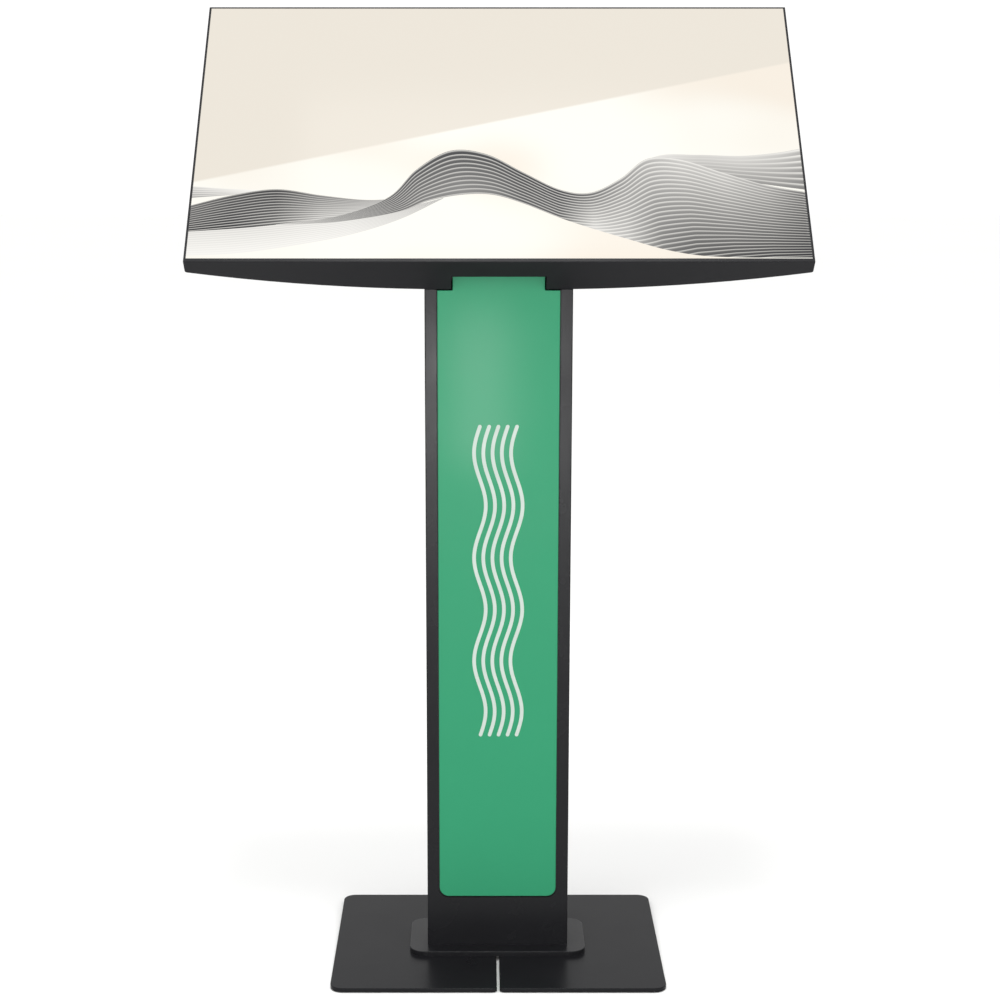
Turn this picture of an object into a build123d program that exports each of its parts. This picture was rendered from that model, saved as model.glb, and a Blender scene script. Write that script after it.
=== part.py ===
from build123d import *

import os
from math import asin, cos, pi, radians, sin, sqrt

# Touchscreen kiosk: a bowed display head at 45 degrees on a slim column with a weighted base.
# Millimetres. +X is the visitor's right, +Y points from the visitor to the back, +Z is up.
# The origin is the middle of the whole object's box, on the floor.

# ---- Display head: x across, v up the slope from the bottom edge, d behind the glass face ----
HEAD_WIDTH = 726.0
HEAD_HEIGHT = 418.0          # along the slope
HEAD_DEPTH = 50.0            # glass face to the flat middle of the back
HEAD_TILT = 45.0             # degrees between the glass and the floor
HEAD_REST_Z = 830.0          # height of the housing's lower rear edge
FLAT_HALF = 50.0             # half width of the back's flat middle
EDGE_ROOM = 1.0              # between the display's carrier and the bowed back, at the side walls
BACK_CORNER = 3.0            # rounding where the back meets the side walls
SKIN = 2.0
EDGE_ROUND = 0.8             # of the housing's folded and welded edges
BOTTOM_LIP = 4.5
LIP_DEPTH = 8.0
NOTCH_WIDTH = 111.0          # cut in the bottom wall where the column's tongue goes in
NOTCH_DEPTH = 23.4
NECK_SLOT = 26.0             # how far the notch runs up the back wall
VENT_LENGTH = 36.0
VENT_WIDTH = 4.0
VENT_PITCH = 12.0
VENT_START = 76.0
VENT_MARGIN = 59.0           # from the last vent to the side wall's face
VENT_DROP = 58.0             # from the top edge to the vents' middle

GLASS_THICKNESS = 4.0
GLASS_GAP = 0.25             # round the glass, inside the lip
GLASS_EDGE = 0.6             # ground chamfer on the glass's front edge
CARRIER_WALL = 4.0
GASKET_THICKNESS = 1.0
GASKET_WIDTH = 10.0
LCD_INSET = 5.0              # from the glass's outline
LCD_THICKNESS = 11.0
BAR_SPACING = 200.0          # between the two cross bars, the display's own hole spacing
BAR_LENGTH = 250.0
BAR_WIDTH = 24.0
BAR_SHEET = 2.5
SPINE_THICKNESS = 3.0
SPINE_START = 36.0
SPINE_MARGIN = 38.0          # from the spine's upper end to the top edge

COVER_SHEET = 1.5
COVER_INNER_X = 122.0
COVER_MARGIN = 61.0          # from the cover to the side wall's face
COVER_LOW_V = 88.0
COVER_HIGH_V = 312.0
COVER_LAP = 12.0             # cover beyond its opening, all round
UNIT_INSET = 10.0            # power supply and media player, inside the cover's inner edge
UNIT_WIDTH = 110.0
UNIT_RISE = 22.0             # above the cover's lower edge
UNIT_LENGTH = 180.0
UNIT_THICKNESS = 18.0

BUTTON_X = -105.0
BUTTON_V = 45.0
BUTTON_RADIUS = 5.0
BUTTON_GAP = 0.05            # running clearance in its bezel
BUTTON_PROUD = 0.6
BUTTON_INSIDE = 4.0
BUTTON_EDGE = 0.4
BEZEL_RADIUS = 8.0
BEZEL_BODY = 6.0
BEZEL_FLANGE = 0.9
BEZEL_LENGTH = 6.0
SWITCH_LENGTH = 14.0

# ---- Column ----
COLUMN_WIDTH = 174.0
COLUMN_DEPTH = 63.0
COLUMN_WALL = 3.0
COLUMN_ROUND = 1.2           # of the column's upright bends
PANEL_MARGIN = 15.0          # from the panel to the column's side
PANEL_BOTTOM = 76.5
PANEL_CORNER = 11.5
PANEL_THICKNESS = 2.0
PANEL_GAP = 1.25             # round the panel, in the column's front opening
PANEL_SHOULDER = 1.0         # below the housing
TONGUE_GAP = 1.5             # on each side, in the housing's notch
TONGUE_RISE = 28.0           # above the housing's lower rear edge
BACKING_SHEET = 1.5
BACKING_LAP = 6.75           # behind the column's front flanges
BACKING_SHY = 2.0            # backing's tongue inside the panel's
TOP_PLATE_THICKNESS = 5.0
TOP_PLATE_START = 33.0
GUSSET_THICKNESS = 5.0
GUSSET_SPACE = 13.5          # from the bolt heads to a gusset's middle
GUSSET_START = 6.0           # up the slope from the plate's lower end
GUSSET_DROP = 50.0

GRAPHIC_THICKNESS = 0.2
GRAPHIC_LOW_Z = 284.0
GRAPHIC_HIGH_Z = 670.0
GRAPHIC_LINES = 5
GRAPHIC_PITCH = 11.0
GRAPHIC_WAVE = 128.0         # height of one wave
GRAPHIC_SWING = 7.0
GRAPHIC_STROKE = 4.4

# ---- Column service door ----
DOOR_MARGIN = 23.0           # from the door to the column's side
DOOR_LOW_Z = 131.0
DOOR_DROP = 111.0            # from the housing's lower rear edge to the door
DOOR_SHEET = 2.5
DOOR_GAP = 1.0
DOOR_RETURN = 6.0
DOOR_RETURN_INSET = 7.0
DOOR_RETURN_SHEET = 1.5
DOOR_ROUND = 0.6
DOOR_VENT_LENGTH = 60.0
DOOR_VENT_PITCH = 10.0
DOOR_VENT_COUNT = 6
DOOR_VENT_INSET = 60.0       # from the door's end to the middle of its vents
STOP_THICKNESS = 2.8
STOP_LAP = 7.0               # of the stop frame on each side of the opening's edge
HINGE_COUNT = 3
HINGE_LENGTH = 60.0
HINGE_RADIUS = 3.25
HINGE_PIN_RADIUS = 1.5
HINGE_RUNNING = 0.05
HINGE_OUTSET = 4.0           # axis outside the door's edge
HINGE_INSET = 60.0           # from the door's end to the middle of a hinge
HINGE_LIFT = 3.5             # axis behind the column's back
LEAF_SHEET = 1.5
LEAF_WIDTH = 15.0
HINGE_NECK = 2.4             # from the axis to where a knuckle runs straight into its leaf
KNUCKLE_GAP = 0.3
LOCK_INSET = 19.0            # from the door's free edge to the lock
LOCK_RADIUS = 8.0
LOCK_FLANGE_RADIUS = 11.0
LOCK_FLANGE = 1.5
LOCK_NUT_HALF = 9.0
LOCK_NUT_HEIGHT = 3.0
LOCK_SETBACK = 0.3           # core below its flange, barrel behind the cam
KEYWAY_WIDTH = 1.8
KEYWAY_HEIGHT = 8.0
KEYWAY_DEPTH = 8.2
CORE_RADIUS = 6.0
CAM_LENGTH = 26.0
CAM_WIDTH = 10.0
CAM_SHEET = 2.0
CAM_BOSS_RADIUS = 6.5
CAM_SCREW_RADIUS = 4.5
CAM_SCREW_HEAD = 3.0
CAM_GAP = 0.5
KEEPER_DEPTH = 11.0
KEEPER_WIDTH = 11.0
KEEPER_HEIGHT = 30.0
KEEPER_SETBACK = 1.0         # from the stop frame's inner edge

# ---- Connections, low on the column's back ----
PORT_Z = 80.0
INLET_WIDTH = 48.0
INLET_HEIGHT = 27.0
INLET_FLANGE = 2.5
INLET_FLANGE_WIDTH = 64.0
INLET_FLANGE_HEIGHT = 33.0
INLET_FLANGE_CORNER = 3.0
INLET_BODY = 28.0            # length inside the column
INLET_SCREW_INSET = 4.5
INLET_SCREW_HEAD = 1.6
SOCKET_X = -10.0
SOCKET_WIDTH = 24.0
SOCKET_HEIGHT = 16.5
SOCKET_DEPTH = 15.5
SOCKET_CORNER = 4.0
PIN_LENGTH = 11.0
PIN_SPACING = 7.0
PIN_STEP = 2.0               # middle pin above, outer pins below the socket's middle
PIN_SECTION = (2.0, 4.0)
ROCKER_X = 14.5
ROCKER_WIDTH = 12.0
ROCKER_HALF = 8.7
ROCKER_SLOT = 19.0
ROCKER_GAP = 0.5
ROCKER_ROOM = 8.0            # depth of its pocket inside the column's back
PIVOT_DEPTH = 2.0
ROCKER_TILT = 10.0           # degrees, at rest, off
TRUNNION_RADIUS = 1.2
TRUNNION_HOLE = 1.0          # into each side of the slot
TRUNNION_REACH = 0.8
COUPLER_X = 55.0
COUPLER_HALF = 8.0
COUPLER_BODY = 25.0          # length inside the column
COUPLER_FLANGE = 1.6
COUPLER_FLANGE_SIZE = (22.0, 24.0)
COUPLER_CORNER = 2.0
JACK_SIZE = (11.8, 8.0)
JACK_DEPTH = 14.6
MAINS_RADIUS = 3.5
NETWORK_RADIUS = 2.75
BLOCK_Z = 200.0
BLOCK_HEIGHT = 90.0
BLOCK_DEPTH = 36.0
BLOCK_REACH = 11.0           # beyond the lead's middle
BLOCK_CORNER = 2.0
LEAD_INSET = 17.0            # from the column's side to a lead's middle
LEAD_SETBACK = 0.5           # behind the column's middle
SADDLE_REACH = 8.0           # beyond the lead's middle
SADDLE_DEPTH = 14.0
SADDLE_HEIGHT = 12.0
SADDLE_GAP = 0.1

# ---- Base ----
BASE_WIDTH = 404.0
BASE_DEPTH = 286.0
BASE_PLATE = 5.0
BASE_CORNER = 15.0
BASE_SLOT = 3.4
SLOT_CORNER = 5.0
PLATE_ROUND = 0.8            # upper edges of the base and foot plates
PAD_THICKNESS = 1.0
PAD_INSET = 3.0
FOOT_MARGIN_X = 22.0         # round the column
FOOT_MARGIN_Y = 20.0
FOOT_PLATE = 6.0
FOOT_CORNER = 18.0
FLANGE_PLATE = 6.0
BOLT_RADIUS = 4.0
BOLT_HEAD_RADIUS = 6.5
BOLT_HEAD = 8.0
BOLT_CLEARANCE = 0.5
FOOT_BOLT_INSET = (32.0, 16.5)   # inside the column's outline
BASE_SCREW_INSET = (14.0, 13.5)  # inside the foot plate's outline
HEAD_BOLT_INSET = 8.0        # inside the flat's edge
HEAD_BOLT_START = 6.0        # above the spine's lower end
HEAD_BOLT_PITCH = 19.0
BAR_BOLT_HALF = 30.0

os.makedirs("parts", exist_ok=True)
written = []


def corners_inside(width, depth, inset):
    """Four places near the corners of a rectangle about the column's middle, inside it by the inset."""
    x, y = width / 2 - inset[0], depth / 2 - inset[1]
    return [(-x, -y), (-x, y), (x, -y), (x, y)]


# ---- Sizes and places worked out from those above ----
PANEL_WIDTH = COLUMN_WIDTH - 2 * PANEL_MARGIN
TONGUE_WIDTH = NOTCH_WIDTH - 2 * TONGUE_GAP
DOOR_WIDTH = COLUMN_WIDTH - 2 * DOOR_MARGIN
DOOR_HIGH_Z = HEAD_REST_Z - DOOR_DROP
HINGE_AXIS_X = -DOOR_WIDTH / 2 - HINGE_OUTSET
LOCK_X = DOOR_WIDTH / 2 - LOCK_INSET
LEAD_X = -COLUMN_WIDTH / 2 + LEAD_INSET
LEAD_Y = COLUMN_DEPTH / 2 + LEAD_SETBACK     # behind the column's face
VENT_V = HEAD_HEIGHT - VENT_DROP
SPINE_END = HEAD_HEIGHT - SPINE_MARGIN
COVER_OUTER_X = HEAD_WIDTH / 2 - COVER_MARGIN
UNIT_INNER_X = COVER_INNER_X + UNIT_INSET
UNIT_LOW_V = COVER_LOW_V + UNIT_RISE
COS_TILT = cos(radians(HEAD_TILT))
SIN_TILT = sin(radians(HEAD_TILT))
# The base reaches furthest forwards and the head's upper rear edge furthest back.
COLUMN_FACE = -(HEAD_HEIGHT * COS_TILT + COLUMN_DEPTH / 2 - BASE_DEPTH / 2) / 2
COLUMN_MIDDLE = COLUMN_FACE + COLUMN_DEPTH / 2
HEAD_Y = COLUMN_FACE - HEAD_DEPTH * SIN_TILT
HEAD_Z = HEAD_REST_Z + HEAD_DEPTH * COS_TILT
GLASS_FACE = Plane(origin=(0, HEAD_Y, HEAD_Z), x_dir=(1, 0, 0), z_dir=(0, -SIN_TILT, COS_TILT))
UP_SLOPE = Vector(0, COS_TILT, SIN_TILT)

BASE_Z = PAD_THICKNESS
FOOT_Z = BASE_Z + BASE_PLATE
COLUMN_Z = FOOT_Z + FOOT_PLATE
FOOT_WIDTH = COLUMN_WIDTH + 2 * FOOT_MARGIN_X
FOOT_DEPTH = COLUMN_DEPTH + 2 * FOOT_MARGIN_Y

LCD_FRONT = GLASS_THICKNESS + GASKET_THICKNESS
LCD_BACK = LCD_FRONT + LCD_THICKNESS
# The back bows so that it just clears the display's carrier at the side walls
BOW_HALF = HEAD_WIDTH / 2 - FLAT_HALF
BOW_DROP = HEAD_DEPTH - LCD_BACK - SKIN - EDGE_ROOM
BOW_RADIUS = (BOW_HALF**2 + BOW_DROP**2) / (2 * BOW_DROP)
SPINE_BACK = HEAD_DEPTH - SKIN
SPINE_FRONT = SPINE_BACK - SPINE_THICKNESS
GLASS_HALF = HEAD_WIDTH / 2 - SKIN - GLASS_GAP
GLASS_LOW = BOTTOM_LIP + GLASS_GAP
GLASS_HIGH = HEAD_HEIGHT - SKIN - GLASS_GAP
BAR_V = [HEAD_HEIGHT / 2 - BAR_SPACING / 2, HEAD_HEIGHT / 2 + BAR_SPACING / 2]
HEAD_BOLT_X = FLAT_HALF - HEAD_BOLT_INSET
HEAD_BOLT_V = SPINE_START + HEAD_BOLT_START
HEAD_BOLT_ROWS = (HEAD_BOLT_V, HEAD_BOLT_V + HEAD_BOLT_PITCH)
HEAD_BOLTS = [(x, v) for x in (-HEAD_BOLT_X, HEAD_BOLT_X) for v in HEAD_BOLT_ROWS]
GUSSET_X = HEAD_BOLT_X + BOLT_HEAD_RADIUS + GUSSET_SPACE
BAR_BOLTS = [(x, v) for x in (-BAR_BOLT_HALF, BAR_BOLT_HALF) for v in BAR_V]
LCD_BOLTS = [(x, v) for x in (-BAR_SPACING / 2, BAR_SPACING / 2) for v in BAR_V]
FOOT_BOLTS = corners_inside(COLUMN_WIDTH, COLUMN_DEPTH, FOOT_BOLT_INSET)
BASE_SCREWS = corners_inside(FOOT_WIDTH, FOOT_DEPTH, BASE_SCREW_INSET)



def save(piece, name):
    """Label a finished piece and write its STEP file."""
    piece.part.label = name
    export_step(piece.part, f"parts/{name}.step")
    written.append(name)


def at_depth(d):
    """Sketch plane parallel to the glass, d behind its face; extrusions run towards the visitor."""
    return GLASS_FACE.offset(-d)


def head_point(x, v, d):
    """A point given in head axes."""
    return GLASS_FACE.from_local_coords(Vector(x, v, -d))


def behind(y):
    """Y of a place measured back from the column's face."""
    return COLUMN_FACE + y


def facing(y):
    """Sketch plane parallel to the column's face; extrusions run forwards."""
    return Plane.XZ.offset(-y)


def block(x, y, z, mode=Mode.ADD):
    """A box between pairs of coordinates."""
    with Locations(((x[0] + x[1]) / 2, (y[0] + y[1]) / 2, (z[0] + z[1]) / 2)):
        Box(x[1] - x[0], y[1] - y[0], z[1] - z[0], mode=mode)


def head_block(x, v, d, mode=Mode.ADD):
    """A box between pairs of head coordinates."""
    with BuildSketch(at_depth(d[1])) as outline:
        with Locations(((x[0] + x[1]) / 2, (v[0] + v[1]) / 2)):
            Rectangle(x[1] - x[0], v[1] - v[0])
    extrude(outline.sketch, amount=d[1] - d[0], mode=mode)


def head_rods(points, radius, d, mode=Mode.ADD):
    """Round rods square to the glass, at head points (x, v)."""
    with BuildSketch(at_depth(d[1])) as outline:
        with Locations(points):
            Circle(radius)
    extrude(outline.sketch, amount=d[1] - d[0], mode=mode)


def upright_rods(points, radius, z, mode=Mode.ADD):
    """Round rods standing on the column's middle, at (x, y) from it."""
    with BuildSketch(Plane((0, COLUMN_MIDDLE, z[0]))) as outline:
        with Locations(points):
            Circle(radius)
    extrude(outline.sketch, amount=z[1] - z[0], mode=mode)


def bow_depth(x, inset=0.0):
    """Depth of the back's face at x, or of the face that lies inset inside it."""
    off_flat = max(abs(x) - FLAT_HALF, 0.0)
    return HEAD_DEPTH - BOW_RADIUS + sqrt((BOW_RADIUS - inset) ** 2 - off_flat**2)


def bow_section(v, inset=0.0):
    """The housing's cross-section at v: straight front, flat middle, an arc to each side wall."""
    half = HEAD_WIDTH / 2 - inset
    arc_middle = (half + FLAT_HALF) / 2
    flat = HEAD_DEPTH - inset
    low = bow_depth(half, inset)
    with BuildSketch(Plane(head_point(0, v, 0), x_dir=(1, 0, 0), z_dir=UP_SLOPE)) as section:
        with BuildLine():
            Polyline((-FLAT_HALF, flat), (FLAT_HALF, flat))
            ThreePointArc((FLAT_HALF, flat), (arc_middle, bow_depth(arc_middle, inset)), (half, low))
            Polyline((half, low), (half, 0), (-half, 0), (-half, low))
            ThreePointArc((-half, low), (-arc_middle, bow_depth(arc_middle, inset)), (-FLAT_HALF, flat))
        make_face()
    return section.sketch


def back_plane(x, v, lift=0.0):
    """Sketch plane on the bowed back at (x, v), facing out of it, raised by lift."""
    off_flat = max(abs(x) - FLAT_HALF, 0.0) * (1 if x > 0 else -1)
    angle = asin(off_flat / BOW_RADIUS)
    out = Vector(1, 0, 0) * sin(angle) - GLASS_FACE.z_dir * cos(angle)
    return Plane(head_point(x, v, bow_depth(x)) + out * lift, x_dir=UP_SLOPE, z_dir=out)


def glass_outline(d, inset=0.0):
    """The glass's rectangle, or one that lies inset inside it."""
    with BuildSketch(at_depth(d)) as outline:
        with Locations((0, (GLASS_LOW + GLASS_HIGH) / 2)):
            Rectangle(2 * (GLASS_HALF - inset), GLASS_HIGH - GLASS_LOW - 2 * inset)
    return outline.sketch


# ================= Display head =================

VENT_COUNT = int((HEAD_WIDTH / 2 - VENT_MARGIN - VENT_START) / VENT_PITCH) + 1
VENT_ROWS = [side * (VENT_START + i * VENT_PITCH) for side in (-1, 1) for i in range(VENT_COUNT)]
COVER_MIDDLE_X = (COVER_INNER_X + COVER_OUTER_X) / 2
COVER_MIDDLE_V = (COVER_LOW_V + COVER_HIGH_V) / 2
COVER_HEIGHT = COVER_HIGH_V - COVER_LOW_V
COVER_SCREWS = [
    (x, v)
    for x in (COVER_INNER_X + COVER_LAP / 2, COVER_OUTER_X - COVER_LAP / 2)
    for v in (COVER_LOW_V + COVER_LAP / 2, COVER_MIDDLE_V, COVER_HIGH_V - COVER_LAP / 2)
]
COVER_SCREW_RADIUS = 1.5
COVER_HEAD_RADIUS = 2.9
COVER_HEAD = 1.4
COVER_SCREW_TIP = 1.5
CSK_RADIUS = 5.0
CSK_DEPTH = 2.5
M5_RADIUS = 2.5

with BuildPart() as head_housing:
    extrude(bow_section(0), amount=HEAD_HEIGHT)
    back_corners = head_housing.edges().filter_by(
        lambda e: abs(e.center().X) > HEAD_WIDTH / 2 - 0.1
        and abs(GLASS_FACE.to_local_coords(e.center()).Y - HEAD_HEIGHT / 2) < 0.1
        and -GLASS_FACE.to_local_coords(e.center()).Z > LIP_DEPTH
    )
    fillet(back_corners, BACK_CORNER)
    front_face = head_housing.faces().sort_by(Axis((0, 0, 0), GLASS_FACE.z_dir))[-1]
    end_faces = head_housing.faces().sort_by(Axis((0, 0, 0), UP_SLOPE))
    fillet(front_face.edges() + end_faces[0].edges() + end_faces[-1].edges(), EDGE_ROUND)
    extrude(bow_section(SKIN, SKIN), amount=HEAD_HEIGHT - 2 * SKIN, mode=Mode.SUBTRACT)
    head_block(
        (-HEAD_WIDTH / 2 + SKIN, HEAD_WIDTH / 2 - SKIN), (SKIN, BOTTOM_LIP), (0, LIP_DEPTH)
    )
    # Where the column's tongue and the leads come in: bottom wall, then a stretch of the back
    notch_x = (-NOTCH_WIDTH / 2, NOTCH_WIDTH / 2)
    head_block(notch_x, (-1, NECK_SLOT), (HEAD_DEPTH - NOTCH_DEPTH, HEAD_DEPTH + 1), Mode.SUBTRACT)
    for side in (-1, 1):
        opening_x = sorted((side * (COVER_INNER_X + COVER_LAP), side * (COVER_OUTER_X - COVER_LAP)))
        opening_v = (COVER_LOW_V + COVER_LAP, COVER_HIGH_V - COVER_LAP)
        head_block(opening_x, opening_v, (LCD_BACK, HEAD_DEPTH), Mode.SUBTRACT)
        for x, v in COVER_SCREWS:
            with BuildSketch(back_plane(side * x, v)) as hole:
                Circle(COVER_SCREW_RADIUS)
            extrude(hole.sketch, amount=-2 * SKIN, mode=Mode.SUBTRACT)
    with BuildSketch(at_depth(HEAD_DEPTH)) as vents:
        with Locations([(x, VENT_V) for x in VENT_ROWS]):
            SlotOverall(VENT_LENGTH, VENT_WIDTH, rotation=90)
    extrude(vents.sketch, amount=HEAD_DEPTH - LCD_BACK, mode=Mode.SUBTRACT)
    head_rods(HEAD_BOLTS, BOLT_RADIUS + BOLT_CLEARANCE, (SPINE_BACK - 1, HEAD_DEPTH), Mode.SUBTRACT)
    with BuildSketch(back_plane(BUTTON_X, BUTTON_V)) as button_hole:
        Circle(BEZEL_BODY)
    extrude(button_hole.sketch, amount=-2 * SKIN, mode=Mode.SUBTRACT)
    for x, v in BAR_BOLTS:
        with Locations(Plane(head_point(x, v, HEAD_DEPTH), z_dir=-GLASS_FACE.z_dir)):
            Cone(CSK_RADIUS - CSK_DEPTH, CSK_RADIUS, CSK_DEPTH,
                 align=(Align.CENTER, Align.CENTER, Align.MAX), mode=Mode.SUBTRACT)
save(head_housing, "head_housing")

with BuildPart() as touch_glass:
    extrude(glass_outline(GLASS_THICKNESS), amount=GLASS_THICKNESS)
    front_face = touch_glass.faces().sort_by(Axis((0, 0, 0), GLASS_FACE.z_dir))[-1]
    chamfer(front_face.edges(), GLASS_EDGE)
save(touch_glass, "touch_glass")

with BuildPart() as glass_carrier:
    extrude(glass_outline(LCD_BACK), amount=LCD_BACK - GLASS_THICKNESS)
    extrude(glass_outline(LCD_BACK, CARRIER_WALL), amount=LCD_BACK - GLASS_THICKNESS, mode=Mode.SUBTRACT)
save(glass_carrier, "glass_carrier")

with BuildPart() as glass_gasket:
    extrude(glass_outline(LCD_FRONT, CARRIER_WALL), amount=GASKET_THICKNESS)
    extrude(glass_outline(LCD_FRONT, CARRIER_WALL + GASKET_WIDTH), amount=GASKET_THICKNESS,
            mode=Mode.SUBTRACT)
save(glass_gasket, "glass_gasket")

LCD_SCREW_DEPTH = 8.0
M6_RADIUS = 3.0
with BuildPart() as lcd_panel:
    extrude(glass_outline(LCD_BACK, LCD_INSET), amount=LCD_THICKNESS)
    head_rods(LCD_BOLTS, M6_RADIUS, (LCD_BACK - LCD_SCREW_DEPTH, LCD_BACK), Mode.SUBTRACT)
save(lcd_panel, "lcd_panel")

with BuildPart() as lcd_crossbars:
    for v in BAR_V:
        bar_x = (-BAR_LENGTH / 2, BAR_LENGTH / 2)
        head_block(bar_x, (v - BAR_WIDTH / 2, v + BAR_WIDTH / 2), (LCD_BACK, SPINE_FRONT))
        inside_v = (v - BAR_WIDTH / 2 + BAR_SHEET, v + BAR_WIDTH / 2 - BAR_SHEET)
        head_block(bar_x, inside_v, (LCD_BACK, SPINE_FRONT - BAR_SHEET), Mode.SUBTRACT)
    head_rods(BAR_BOLTS, M5_RADIUS, (LCD_BACK, SPINE_FRONT), Mode.SUBTRACT)
    head_rods(LCD_BOLTS, M6_RADIUS, (LCD_BACK, SPINE_FRONT), Mode.SUBTRACT)
save(lcd_crossbars, "lcd_crossbars")

LCD_HEAD = 1.6
with BuildPart() as lcd_screws:
    head_rods(LCD_BOLTS, M6_RADIUS, (LCD_BACK - LCD_SCREW_DEPTH, SPINE_FRONT))
    head_rods(LCD_BOLTS, M6_RADIUS * 1.7, (SPINE_FRONT, SPINE_FRONT + LCD_HEAD))
save(lcd_screws, "lcd_screws")

with BuildPart() as spine_plate:
    head_block((-FLAT_HALF, FLAT_HALF), (SPINE_START, SPINE_END), (SPINE_FRONT, SPINE_BACK))
    head_rods(HEAD_BOLTS, BOLT_RADIUS + BOLT_CLEARANCE, (SPINE_FRONT, SPINE_BACK), Mode.SUBTRACT)
    head_rods(BAR_BOLTS, M5_RADIUS, (SPINE_FRONT, SPINE_BACK), Mode.SUBTRACT)
    for x, v in BAR_BOLTS:
        with Locations(Plane(head_point(x, v, HEAD_DEPTH), z_dir=-GLASS_FACE.z_dir)):
            Cone(CSK_RADIUS - CSK_DEPTH, CSK_RADIUS, CSK_DEPTH,
                 align=(Align.CENTER, Align.CENTER, Align.MAX), mode=Mode.SUBTRACT)
save(spine_plate, "spine_plate")

SCREW_TIP = 4.0
with BuildPart() as spine_screws:
    for x, v in BAR_BOLTS:
        with Locations(Plane(head_point(x, v, HEAD_DEPTH), z_dir=-GLASS_FACE.z_dir)):
            Cone(CSK_RADIUS - CSK_DEPTH, CSK_RADIUS, CSK_DEPTH,
                 align=(Align.CENTER, Align.CENTER, Align.MAX))
    head_rods(BAR_BOLTS, M5_RADIUS, (SPINE_FRONT - BAR_SHEET - SCREW_TIP, HEAD_DEPTH - CSK_DEPTH))
save(spine_screws, "spine_screws")

NUT_HEIGHT = 6.5
with BuildPart() as head_bolts:
    plate_back = HEAD_DEPTH + TOP_PLATE_THICKNESS
    head_rods(HEAD_BOLTS, BOLT_RADIUS, (SPINE_FRONT - NUT_HEIGHT - 1, plate_back))
    head_rods(HEAD_BOLTS, BOLT_HEAD_RADIUS, (plate_back, plate_back + BOLT_HEAD))
    with BuildSketch(at_depth(SPINE_FRONT)) as nuts:
        with Locations(HEAD_BOLTS):
            RegularPolygon(BOLT_HEAD_RADIUS, 6, major_radius=False)
    extrude(nuts.sketch, amount=NUT_HEIGHT)
save(head_bolts, "head_bolts")


def service_cover(side):
    """A bowed cover lapped over its opening in the back, with louvre slots and screw holes."""
    with BuildPart() as cover:
        extrude(bow_section(COVER_LOW_V, -COVER_SHEET), amount=COVER_HEIGHT)
        extrude(bow_section(COVER_LOW_V), amount=COVER_HEIGHT, mode=Mode.SUBTRACT)
        keep_x = sorted((side * COVER_INNER_X, side * COVER_OUTER_X))
        head_block(keep_x, (COVER_LOW_V, COVER_HIGH_V), (LCD_BACK, HEAD_DEPTH + 2), Mode.INTERSECT)
        with BuildSketch(at_depth(HEAD_DEPTH + 2)) as louvres:
            with Locations((side * COVER_MIDDLE_X, COVER_MIDDLE_V)):
                with GridLocations(70.0, VENT_PITCH, 2, 12):
                    SlotOverall(52.0, VENT_WIDTH)
        extrude(louvres.sketch, amount=HEAD_DEPTH - LCD_BACK, mode=Mode.SUBTRACT)
        for x, v in COVER_SCREWS:
            with BuildSketch(back_plane(side * x, v, 2 * COVER_SHEET)) as hole:
                Circle(COVER_SCREW_RADIUS)
            extrude(hole.sketch, amount=-3 * COVER_SHEET, mode=Mode.SUBTRACT)
    return cover


save(service_cover(-1), "service_cover_left")
save(service_cover(1), "service_cover_right")

with BuildPart() as cover_screws:
    for side in (-1, 1):
        for x, v in COVER_SCREWS:
            with BuildSketch(back_plane(side * x, v, COVER_SHEET)) as head_circle:
                Circle(COVER_HEAD_RADIUS)
            extrude(head_circle.sketch, amount=COVER_HEAD)
            with BuildSketch(back_plane(side * x, v, COVER_SHEET)) as shank_circle:
                Circle(COVER_SCREW_RADIUS)
            extrude(shank_circle.sketch, amount=-COVER_SHEET - SKIN - COVER_SCREW_TIP)
save(cover_screws, "cover_screws")

GRILLE_PITCH = 9.0
GRILLE_HOLE = 3.2
GRILLE_DEPTH = 1.5
UNIT_V = (UNIT_LOW_V, UNIT_LOW_V + UNIT_LENGTH)
UNIT_X = (UNIT_INNER_X, UNIT_INNER_X + UNIT_WIDTH)
with BuildPart() as head_power_supply:
    head_block((-UNIT_X[1], -UNIT_X[0]), UNIT_V, (LCD_BACK, LCD_BACK + UNIT_THICKNESS))
    with BuildSketch(at_depth(LCD_BACK + UNIT_THICKNESS)) as grille:
        with Locations((-(UNIT_X[0] + UNIT_X[1]) / 2, (UNIT_V[0] + UNIT_V[1]) / 2)):
            with GridLocations(GRILLE_PITCH, GRILLE_PITCH, 9, 14):
                RegularPolygon(GRILLE_HOLE, 6)
    extrude(grille.sketch, amount=GRILLE_DEPTH, mode=Mode.SUBTRACT)
save(head_power_supply, "head_power_supply")

FIN_HEIGHT = 7.0
FIN_SHEET = 1.8
FIN_COUNT = 13
FIN_INSET = 5.0
with BuildPart() as media_player:
    body_back = LCD_BACK + UNIT_THICKNESS - FIN_HEIGHT
    head_block(UNIT_X, UNIT_V, (LCD_BACK, body_back))
    with BuildSketch(at_depth(LCD_BACK + UNIT_THICKNESS)) as fins:
        with Locations(((UNIT_X[0] + UNIT_X[1]) / 2, (UNIT_V[0] + UNIT_V[1]) / 2)):
            with GridLocations(UNIT_WIDTH / (FIN_COUNT + 1), 0, FIN_COUNT, 1):
                Rectangle(FIN_SHEET, UNIT_LENGTH - 2 * FIN_INSET)
    extrude(fins.sketch, amount=FIN_HEIGHT)
save(media_player, "media_player")

BOARD_STANDOFF = 4.0
BOARD_SHEET = 1.6
BOARD_HALF = (90.0, 70.0)
BOARD_SPACER_INSET = 6.0
BOARD_SPACER_RADIUS = 3.0
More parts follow.
